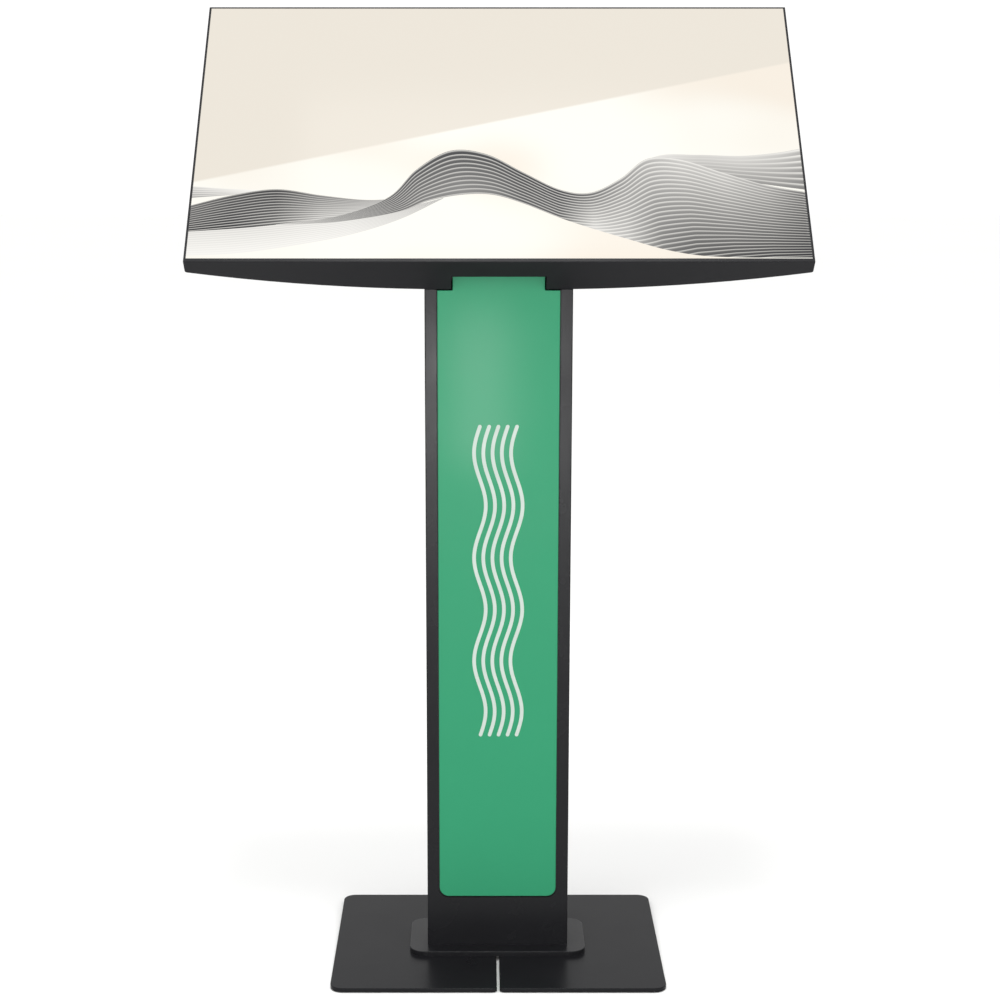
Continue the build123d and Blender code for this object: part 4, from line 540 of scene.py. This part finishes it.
# The picture: each ribbon lies between a lower and an upper curve, as shares of the glass's width and
# height, with how strongly its lines show (depth) and how light it is (tone) along each edge. Where a
# ribbon has a cut, that share of its lines hasn't yet come out of its lower edge.
RIBBONS = {
    "far_fold": dict(
        lines=5, upper=[(-0.01, 0.272), (0.05, 0.262), (0.11, 0.256), (0.18, 0.248)],
        lower=[(-0.01, 0.225), (0.05, 0.235), (0.11, 0.246), (0.18, 0.246)],
        depth=([0.6, 0.45, 0.1, 0.0], [0.2, 0.1, 0.0, 0.0]), tone=([0.8, 0.9, 1, 1], [0.8, 0.9, 1, 1])),
    "far_shelf": dict(
        lines=7,
        upper=[(0.70, 0.30), (0.76, 0.386), (0.83, 0.392), (0.90, 0.388), (0.96, 0.40), (1.01, 0.42)],
        lower=[(0.70, 0.25), (0.76, 0.31), (0.83, 0.31), (0.90, 0.29), (0.96, 0.27), (1.01, 0.255)],
        depth=([0.6, 0.5, 0.4, 0.5, 0.6, 0.75], [0.0, 0.0, 0.05, 0.05, 0.25, 0.55]),
        tone=([0.5, 0.5, 0.5, 0.55, 0.6, 0.7], [0.9, 0.75, 0.65, 0.7, 0.8, 1.0])),
    "left_dune": dict(
        lines=13,
        upper=[(-0.01, 0.192), (0.065, 0.236), (0.137, 0.259), (0.21, 0.236), (0.28, 0.219), (0.33, 0.222)],
        lower=[(-0.01, 0.094), (0.065, 0.108), (0.137, 0.124), (0.21, 0.140), (0.28, 0.158), (0.33, 0.180)],
        depth=([1.0, 1.0, 0.85, 0.45, 0.25, 0.2], [0.7, 0.85, 0.95, 0.7, 0.5, 0.3]),
        tone=([0.6, 0.6, 0.7, 0.85, 0.8, 0.6], [0.3, 0.3, 0.35, 0.4, 0.5, 0.5])),
    "left_shore": dict(
        lines=11,
        upper=[(-0.01, 0.098), (0.08, 0.112), (0.17, 0.130), (0.26, 0.152), (0.34, 0.186), (0.41, 0.226)],
        lower=[(-0.01, 0.010), (0.08, 0.020), (0.17, 0.048), (0.26, 0.088), (0.34, 0.146), (0.41, 0.224)],
        depth=([0.05, 0.05, 0.08, 0.15, 0.3, 0.5], [0.18, 0.2, 0.2, 0.22, 0.35, 0.6]),
        tone=([0.97, 0.97, 0.97, 0.95, 0.9, 0.8], [0.88, 0.88, 0.9, 0.9, 0.85, 0.8])),
    "crest": dict(
        lines=26,
        upper=[(0.14, 0.126), (0.24, 0.158), (0.32, 0.228), (0.365, 0.335), (0.42, 0.408), (0.48, 0.395),
               (0.54, 0.325), (0.60, 0.258), (0.65, 0.246), (0.70, 0.300), (0.745, 0.376), (0.80, 0.374),
               (0.87, 0.322), (0.94, 0.274), (1.01, 0.245)],
        lower=[(0.14, 0.124), (0.24, 0.136), (0.335, 0.172), (0.385, 0.214), (0.44, 0.238), (0.49, 0.238),
               (0.54, 0.205), (0.60, 0.150), (0.655, 0.108), (0.71, 0.070), (0.765, 0.034), (0.82, 0.012),
               (0.88, 0.005), (0.94, 0.004), (1.01, 0.004)],
        cut=[0.6, 0.6, 0.6, 0.6, 0.6, 0.6, 0.6, 0.6, 0.5, 0.36, 0.22, 0.12, 0.06, 0.02, 0.0],
        depth=([0.3, 0.6, 0.85, 0.7, 0.6, 0.7, 0.9, 0.9, 0.3, 0.45, 0.75, 0.85, 0.9, 0.95, 1.0],
               [0.3, 0.7, 0.9, 0.95, 1.0, 1.0, 1.0, 1.0, 0.9, 0.7, 0.5, 0.35, 0.35, 0.5, 0.8]),
        tone=([0.8, 0.6, 0.5, 0.5, 0.45, 0.45, 0.5, 0.6, 0.95, 0.85, 0.5, 0.4, 0.4, 0.4, 0.3],
              [0.8, 0.6, 0.5, 0.5, 0.5, 0.5, 0.5, 0.6, 0.7, 0.8, 0.85, 0.9, 0.85, 0.7, 0.5])),
}
RIBBON_STEPS = 140
RIBBON_ROWS = 14


class KIOSK_OT_screen_picture(bpy.types.Operator):
    """Makes the lit picture: a sky and ribbed dunes, each a thin layer at the face of the glass."""

    bl_idname = "kiosk.screen_picture"
    bl_label = "Screen picture"

    def execute(self, context):
        settings = context.scene.kiosk_screen
        low, high = PICTURE_MARGIN / GLASS_LENGTH, 1 - PICTURE_MARGIN / GLASS_LENGTH
        side = 1 - PICTURE_MARGIN / GLASS_HALF
        material = sky_finish(settings.sky_colour, settings.light_colour)
        u, v = np.meshgrid(np.linspace(0, 1, 41), np.linspace(low, high, 25))
        self.layer("picture_sky", u, v, side, 1, material, settings, u, v)
        for number, (name, ribbon) in enumerate(RIBBONS.items()):
            # Across t from curve to curve by s: the straight mix of the lower and the upper point
            upper = smooth_line(ribbon["upper"], RIBBON_STEPS)
            lower = smooth_line(ribbon["lower"], RIBBON_STEPS)
            s = np.linspace(0, 1, RIBBON_ROWS)[:, None]
            u = (1 - s) * lower[:, 0] + s * upper[:, 0]
            v = (1 - s) * lower[:, 1] + s * upper[:, 1]
            material = ridge_finish("lit_screen_" + name, ribbon["lines"], settings.groove_colour,
                                    settings.ridge_colour)
            t = np.linspace(0, 1, RIBBON_STEPS)
            cut = ribbon.get("cut", [0.0, 0.0])
            cut = np.interp(t, np.linspace(0, 1, len(cut)), cut)
            piece = self.layer("picture_" + name, np.clip(u, 0, 1), np.clip(v, low, high), side, number + 2,
                               material, settings, np.broadcast_to(t, u.shape), cut + (1 - cut) * s)
            for key in ("depth", "tone"):
                ends = [np.interp(t, np.linspace(0, 1, len(row)), row) for row in ribbon[key]]
                values = (1 - s) * ends[0] + s * ends[1]
                attribute = piece.data.attributes.new(key, "FLOAT", "POINT")
                attribute.data.foreach_set("value", values.astype(np.float32).ravel())
        return {"FINISHED"}

    def layer(self, name, u, v, side, number, material, settings, map_across, map_up):
        """A sheet of picture on the glass, from shares of its width and height, with its own map."""
        lift = settings.recess - number * settings.layer
        points = head_place((u - 0.5) * 2 * GLASS_HALF * side, v * GLASS_LENGTH, np.full(u.shape, lift))
        rows, columns = u.shape
        piece = add_piece(name, points, grid_faces(rows, columns), "root", material,
                          closed=False)
        corner = np.empty(len(piece.data.loops), int)
        piece.data.loops.foreach_get("vertex_index", corner)
        map_points = np.stack([map_across.ravel(), map_up.ravel()], axis=-1)
        layer = piece.data.uv_layers.new(name="UVMap")
        layer.data.foreach_set("uv", map_points[corner].astype(np.float32).ravel())
        return piece


class KIOSK_OT_front_panel(bpy.types.Operator):
    """Makes the column's coloured acrylic panel with polished edges."""

    bl_idname = "kiosk.front_panel"
    bl_label = "Front panel"

    def execute(self, context):
        settings = context.scene.kiosk_column
        half, low, top = PANEL_HIGH.x, PANEL_LOW.z, PANEL_HIGH.z
        corner, small = PANEL_CORNER, PANEL_ROUND
        # Two rounded lower corners, a shoulder at each side, and the tongue that goes up into the head
        outline = np.concatenate([
            arc((half - corner, low + corner), corner, -90, 0, 12),
            arc((half - small, SHOULDER_Z - small), small, 0, 90, 4),
            arc((TONGUE_HALF + small, SHOULDER_Z + small), small, 270, 180, 4),
            arc((TONGUE_HALF - small, top - small), small, 0, 90, 4),
            arc((-TONGUE_HALF + small, top - small), small, 90, 180, 4),
            arc((-TONGUE_HALF - small, SHOULDER_Z + small), small, 0, -90, 4),
            arc((-half + small, SHOULDER_Z - small), small, 90, 180, 4),
            arc((-half + corner, low + corner), corner, 180, 270, 12)])
        thick = PANEL_HIGH.y - PANEL_LOW.y
        x, z, height = sheet_rings(outline, eased_profile(thick, 0.0, settings.edge))
        points = np.stack([x, PANEL_HIGH.y - height, z], axis=-1)
        faces = sheet_faces(len(x), len(outline))
        panel = add_piece("front_panel", points, faces, "root", acrylic_finish(settings.panel_colour),
                          flat=(len(faces) - 1, len(faces) - 2))
        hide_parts("brand_panel")
        return {"FINISHED"}


class KIOSK_OT_panel_waves(bpy.types.Operator):
    """Makes the cut vinyl waves on the panel."""

    bl_idname = "kiosk.panel_waves"
    bl_label = "Panel waves"

    def execute(self, context):
        settings = context.scene.kiosk_column
        low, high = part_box("panel_graphic")
        thick = PANEL_LOW.y - low.y
        half = settings.wave_stroke / 2
        # Middle line: the sideways place is the swing times the sine of the height over the wave's height
        z = np.linspace(low.z + half, high.z - half, 160)
        phase = 2 * np.pi * (z - low.z) / settings.wave_length
        slope = settings.wave_swing * 2 * np.pi / settings.wave_length * np.cos(phase)
        normal = np.stack([np.ones_like(slope), -slope], axis=-1) / np.sqrt(1 + slope**2)[:, None]
        profile = eased_profile(thick, 0.0, 0.08 * MM, 3)
        points, faces, flat = [], [], []
        for line in range(settings.wave_count):
            offset = (line - (settings.wave_count - 1) / 2) * settings.wave_pitch
            middle = np.stack([offset + settings.wave_swing * np.sin(phase), z], axis=-1)
            lean = np.degrees(np.arctan2(normal[[0, -1], 1], normal[[0, -1], 0]))
            # The stroke carried along the middle line, with a half circle at each end
            outline = np.concatenate([
                middle + normal * half, arc(middle[-1], half, lean[1], lean[1] + 180, 12)[1:-1],
                (middle - normal * half)[::-1], arc(middle[0], half, lean[0] + 180, lean[0] + 360, 12)[1:-1]])
            x, up, height = sheet_rings(outline, profile)
            faces += sheet_faces(len(x), len(outline), first=sum(len(p) for p in points))
            flat += [len(faces) - 1, len(faces) - 2]
            points.append(np.stack([x, PANEL_LOW.y - height, up], axis=-1).reshape(-1, 3))
        waves = add_piece("panel_waves", np.concatenate(points), faces, "root",
                          vinyl_finish(settings.wave_colour), flat=flat)
        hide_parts("panel_graphic")
        return {"FINISHED"}


class KIOSK_OT_cover_screws(bpy.types.Operator):
    """Makes the button-head screws of the two service covers."""

    bl_idname = "kiosk.cover_screws"
    bl_label = "Cover screws"

    def execute(self, context):
        settings = context.scene.kiosk_fixings
        x, up = (values.ravel() * MM for values in np.meshgrid(COVER_SCREWS_X, COVER_SCREWS_UP))
        places, outs = back_place(x, up, COVER_LIFT)
        points, faces, flat = button_heads(places, outs, settings.head_radius, settings.head_height,
                                           settings.socket)
        # Blackened steel: dark grey metal with a dull oil sheen
        material = plated("blackened_screws", linear("#3A3A3C"), 0.36, 6 * MM, 1 * MM, 0.004 * MM)
        screws = add_piece("cover_button_heads", points, faces, "root", material,
                           flat=flat)
        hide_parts("cover_screws")
        return {"FINISHED"}


class KIOSK_OT_hinge_screws(bpy.types.Operator):
    """Makes the screws in the hinges' leaves, on the column and on the door."""

    bl_idname = "kiosk.hinge_screws"
    bl_label = "Hinge screws"

    def execute(self, context):
        settings = context.scene.kiosk_fixings
        # Turned stainless steel: bright, with a fine grain
        material = plated("stainless_screws", linear("#B9B9B5"), 0.3, 6 * MM, 1 * MM, 0.004 * MM)
        for node, body in (("hinge_leaves_column", "root"), ("hinge_leaves_door", "service_door")):
            low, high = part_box(node)
            middles = np.linspace(low.z + HINGE_LENGTH / 2, high.z - HINGE_LENGTH / 2, 3)
            x = low.x + LEAF_MIDDLE if body == "root" else high.x - LEAF_MIDDLE
            z = (middles[:, None] + np.array(HINGE_SCREWS_UP) * MM).ravel()
            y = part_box("column_door")[1].y + LEAF_SHEET
            places = np.stack([np.full(z.shape, x), np.full(z.shape, y), z], axis=-1)
            outs = np.tile([0.0, 1.0, 0.0], (len(z), 1))
            points, faces, flat = button_heads(places, outs, settings.leaf_head_radius,
                                               settings.leaf_head_height, settings.socket)
            add_piece("hinge_screws_" + body, points, faces, body, material, flat=flat)
        return {"FINISHED"}


class KIOSK_OT_lamp_ring(bpy.types.Operator):
    """Makes the lamp ring round the power button."""

    bl_idname = "kiosk.lamp_ring"
    bl_label = "Lamp ring"

    def execute(self, context):
        settings = context.scene.kiosk_fixings
        # Moulded light guide: milky plastic that glows evenly
        material, shader, place = new_finish("light_guide", Emission_Strength=0.9, Roughness=0.3)
        shader.inputs["Emission Color"].default_value = opaque(settings.lamp_colour)
        grained(material, shader, place, linear("#E8F2F6"), 0.95, 0.3, 0.03, 4 * MM, 1 * MM, 0.002 * MM)
        middle, out = back_place(BUTTON_X, BUTTON_UP, BEZEL_LIFT)
        along = np.array(Vector(out).orthogonal().normalized())
        side = np.cross(out, along)
        # An oval bead carried round a circle
        turn = np.linspace(0, 2 * np.pi, 48, endpoint=False)
        bead = np.linspace(0, 2 * np.pi, 10, endpoint=False)[:, None]
        reach = LAMP_RADIUS + LAMP_HALF_WIDTH * np.cos(bead)
        x, y, lift = reach * np.cos(turn), reach * np.sin(turn), LAMP_HEIGHT * np.sin(bead) + 0 * turn
        points = middle + x[..., None] * along + y[..., None] * side + lift[..., None] * out
        add_piece("power_lamp_ring", points, ring_faces(*lift.shape), "root", material)
        return {"FINISHED"}


class KIOSK_OT_door_seal(bpy.types.Operator):
    """Makes the foam strip that the column's door closes on."""

    bl_idname = "kiosk.door_seal"
    bl_label = "Door seal"

    def execute(self, context):
        settings = context.scene.kiosk_fixings
        low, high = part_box("door_stop_frame")
        inset = settings.seal_inset
        outline = rounded_rectangle(high.x - inset, low.z + inset, high.z - inset,
                                    DOOR_SEAL_CORNER, 5)
        # A cushion section, as high as the root of a sine over the strip's width
        across = np.linspace(0, 1, 7)
        crown = settings.seal_height * np.sin(np.pi * across) ** 0.5
        section = np.stack([across * settings.seal_width, crown], axis=-1)
        x, z, height = sheet_rings(outline, section)
        points = np.stack([x, high.y + height, z], axis=-1)
        # Closed-cell foam: dead matt and almost black, with its cut cells as a coarse bump
        material = moulded("closed_cell_foam", linear("#2A2A2A"), 0.85, 0.8 * MM, 0.05 * MM)
        add_piece("door_seal_strip", points, ring_faces(*x.shape), "root", material)
        return {"FINISHED"}


class KIOSK_OT_frame_finishes(bpy.types.Operator):
    """Gives every part of the frame that stays in view its real finish."""

    bl_idname = "kiosk.frame_finishes"
    bl_label = "Frame finishes"

    def execute(self, context):
        coat = context.scene.kiosk_column.coat_colour
        # Powder coat on the outer sheet steel: satin black, softest on the head, a little sharper on the
        # column, the base and the foot
        head = powder_coat("powder_coat_head", coat, 0.42, 0.12)
        column = powder_coat("powder_coat_column", coat, 0.26, 0.11)
        base = powder_coat("powder_coat_base", coat, 0.3, 0.08)
        foot = powder_coat("powder_coat_foot", coat, 0.32, 0.16)
        # Thin powder coat on the inner steel parts: duller, since it is sprayed into corners
        inside = powder_coat("powder_coat_inside", coat, 0.5, 0.3)
        # Bright zinc plate on screws, bolts and brackets: blue-white and cloudy from the bath
        zinc = plated("bright_zinc", linear("#B8BCC0"), 0.32, 15 * MM, 2 * MM, 0.006 * MM)
        # Stainless steel, brushed: a warmer grey with a fine grain
        stainless = plated("brushed_stainless", linear("#B4B2AE"), 0.3, 20 * MM, 1 * MM, 0.004 * MM)
        # Chrome plate on the turned lock: near mirror, a little uneven
        chrome = plated("chrome_plate", linear("#D6D8DA"), 0.1, 10 * MM, 2 * MM, 0.002 * MM)
        # Pressed galvanised sheet: grey, with spangles drawn at 6 mm
        tray = plated("spangled_tray", linear("#A9ADB0"), 0.42, 12 * MM, 6 * MM, 0.004 * MM)
        # Turned brass pins with thin nickel: pale yellow and shiny
        brass = plated("nickelled_brass", linear("#C9B27A"), 0.25, 10 * MM, 1 * MM, 0.003 * MM)
        # Extruded aluminium case: die lines just under 2 mm apart
        fins = finned_metal("extruded_aluminium", linear("#B9BABC"), 1.974 * MM)
        # Moulded nylon: black with a spark-eroded texture that kills sharp reflections
        plastic = moulded("moulded_nylon", linear("#1C1C1D"), 0.42, 0.8 * MM, 0.012 * MM)
        # Moulded rubber: flat black, softer still
        rubber = moulded("moulded_rubber", linear("#161616"), 0.7, 1.2 * MM, 0.03 * MM)
        # Foam tape: matt, with open cells
        foam = moulded("foam_tape", linear("#232323"), 0.9, 0.8 * MM, 0.05 * MM)
        # Extruded PVC cable jackets: a smooth low sheen along the lead
        jacket = moulded("pvc_jacket", linear("#191919"), 0.38, 1.5 * MM, 0.01 * MM)
        network = moulded("pvc_jacket_grey", linear("#6E7377"), 0.4, 1.5 * MM, 0.01 * MM)
        board = board_finish()
        finishes = {
            head: ["head_housing", "service_cover_left", "service_cover_right"],
            column: ["column_shell", "column_door"],
            base: ["base_plate_left", "base_plate_right"],
            foot: ["foot_plate"],
            inside: ["column_foot_flange", "column_top_plate", "door_stop_frame", "neck_gussets",
                     "lock_keeper", "panel_backing"],
            zinc: ["base_screws", "foot_bolts", "head_bolts", "lcd_screws", "spine_screws", "spine_plate",
                   "lcd_crossbars", "inlet_screws", "lock_nut", "button_bezel"],
            stainless: ["hinge_leaves_column", "hinge_leaves_door", "hinge_pins", "power_button"],
            chrome: ["lock_barrel", "lock_core"],
            tray: ["lcd_panel", "head_power_supply", "glass_carrier"],
            brass: ["inlet_pins"],
            fins: ["media_player"],
            plastic: ["inlet_module", "rocker_switch", "network_coupler", "power_block", "button_switch",
                      "speaker_left", "speaker_right", "lead_saddles"],
            rubber: ["base_pads", "neck_edge_trim"],
            foam: ["glass_gasket"],
            jacket: ["inlet_lead", "head_power_lead"],
            network: ["network_lead"],
            board: ["lcd_driver_board", "touch_controller"],
        }
        dressed = set()
        for material, names in finishes.items():
            for name in names:
                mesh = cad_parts[name].data
                mesh.materials.clear()
                mesh.materials.append(material)
                dressed.add(name)
        bare = [name for name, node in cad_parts.items() if name not in dressed and not node.hide_render]
        if bare:
            raise RuntimeError(f"no finish for {bare}")
        return {"FINISHED"}


class KIOSK_OT_stage(bpy.types.Operator):
    """Makes the pale floor, the surroundings, the soft lights and the camera."""

    bl_idname = "kiosk.stage"
    bl_label = "Stage"

    def execute(self, context):
        scene = context.scene
        settings = scene.kiosk_stage
        mesh = bpy.data.meshes.new("floor")
        x, y = np.meshgrid(*[np.linspace(-FLOOR_HALF, FLOOR_HALF, 7)] * 2)
        mesh.from_pydata(np.stack([x, y, 0 * x], axis=-1).reshape(-1, 3).tolist(), [], grid_faces(7, 7))
        floor = bpy.data.objects.new("floor", mesh)
        scene.collection.objects.link(floor)
        # Painted floor: matt and pale, with patches of slightly different tone
        material, shader, place = new_finish("painted_floor", Specular_IOR_Level=0.1)
        grained(material, shader, place, settings.floor_colour, 0.98, 0.85, 0.05, 0.6, 30 * MM, 0.02 * MM)
        mesh.materials.append(material)

        world = bpy.data.worlds.new("surroundings")
        scene.world = world
        world.use_nodes = True
        background = world.node_tree.nodes["Background"]
        background.inputs["Color"].default_value = (1, 1, 1, 1)
        background.inputs["Strength"].default_value = settings.world_strength

        # The strip is narrower than the column, so that it lights its front and can't glare off its sides
        for name, place, width, height, power in (
            ("key_softbox", (-2.2, -2.2, 2.3), 1.6, 1.6, settings.key_power),
            ("fill_softbox", (2.4, -2.0, 1.6), 1.6, 1.6, 0.4 * settings.key_power),
            ("top_softbox", (0.0, -0.35, 2.9), 0.8, 0.8, 1.8 * settings.key_power),
            ("low_strip", (-0.02, -2.75, 0.32), 0.12, 0.4, 1.3 * settings.key_power),
        ):
            light = bpy.data.lights.new(name, "AREA")
            light.shape = "RECTANGLE"
            light.size = width
            light.size_y = height
            light.energy = power
            lamp = bpy.data.objects.new(name, light)
            lamp.location = place
            lamp.rotation_euler = (Vector((0, 0, 0.6)) - Vector(place)).to_track_quat("-Z", "Y").to_euler()
            scene.collection.objects.link(lamp)

        data = bpy.data.cameras.new("camera")
        data.sensor_width = 36
        data.lens = settings.lens
        data.shift_x = settings.shift
        camera = bpy.data.objects.new("camera", data)
        camera.location = settings.camera_place
        camera.rotation_euler = (math.pi / 2 - settings.pitch, 0, 0)
        scene.collection.objects.link(camera)
        scene.camera = camera
        scene.view_settings.view_transform = "Standard"
        return {"FINISHED"}


class KIOSK_PT_panel(bpy.types.Panel):
    """Lists the kiosk's pieces and settings in the sidebar."""

    bl_idname = "KIOSK_PT_panel"
    bl_label = "Touchscreen kiosk"
    bl_space_type = "VIEW_3D"
    bl_region_type = "UI"
    bl_category = "Kiosk"

    def draw(self, context):
        for operator in OPERATORS:
            self.layout.operator(operator.bl_idname)
        for group in SETTINGS:
            settings = getattr(context.scene, group)
            box = self.layout.box()
            for name in settings.bl_rna.properties.keys():
                if name not in ("name", "rna_type"):
                    box.prop(settings, name)


SETTINGS = {
    "kiosk_screen": KioskScreenSettings,
    "kiosk_column": KioskColumnSettings,
    "kiosk_fixings": KioskFixingSettings,
    "kiosk_stage": KioskStageSettings,
}
OPERATORS = (
    KIOSK_OT_screen_glass, KIOSK_OT_screen_picture, KIOSK_OT_front_panel, KIOSK_OT_panel_waves,
    KIOSK_OT_cover_screws, KIOSK_OT_hinge_screws, KIOSK_OT_lamp_ring, KIOSK_OT_door_seal,
    KIOSK_OT_frame_finishes, KIOSK_OT_stage,
)


def register():
    """Registers the settings, the operators and the panel."""
    for name, group in SETTINGS.items():
        bpy.utils.register_class(group)
        setattr(bpy.types.Scene, name, PointerProperty(type=group))
    for operator in OPERATORS:
        bpy.utils.register_class(operator)
    bpy.utils.register_class(KIOSK_PT_panel)


def unregister():
    """Takes them all away again."""
    bpy.utils.unregister_class(KIOSK_PT_panel)
    for operator in reversed(OPERATORS):
        bpy.utils.unregister_class(operator)
    for name, group in SETTINGS.items():
        delattr(bpy.types.Scene, name)
        bpy.utils.unregister_class(group)


def main():
    """Builds everything in order."""
    register()
    for operator in OPERATORS:
        family, name = operator.bl_idname.split(".")
        getattr(getattr(bpy.ops, family), name)()


if __name__ == "__main__":
    main()
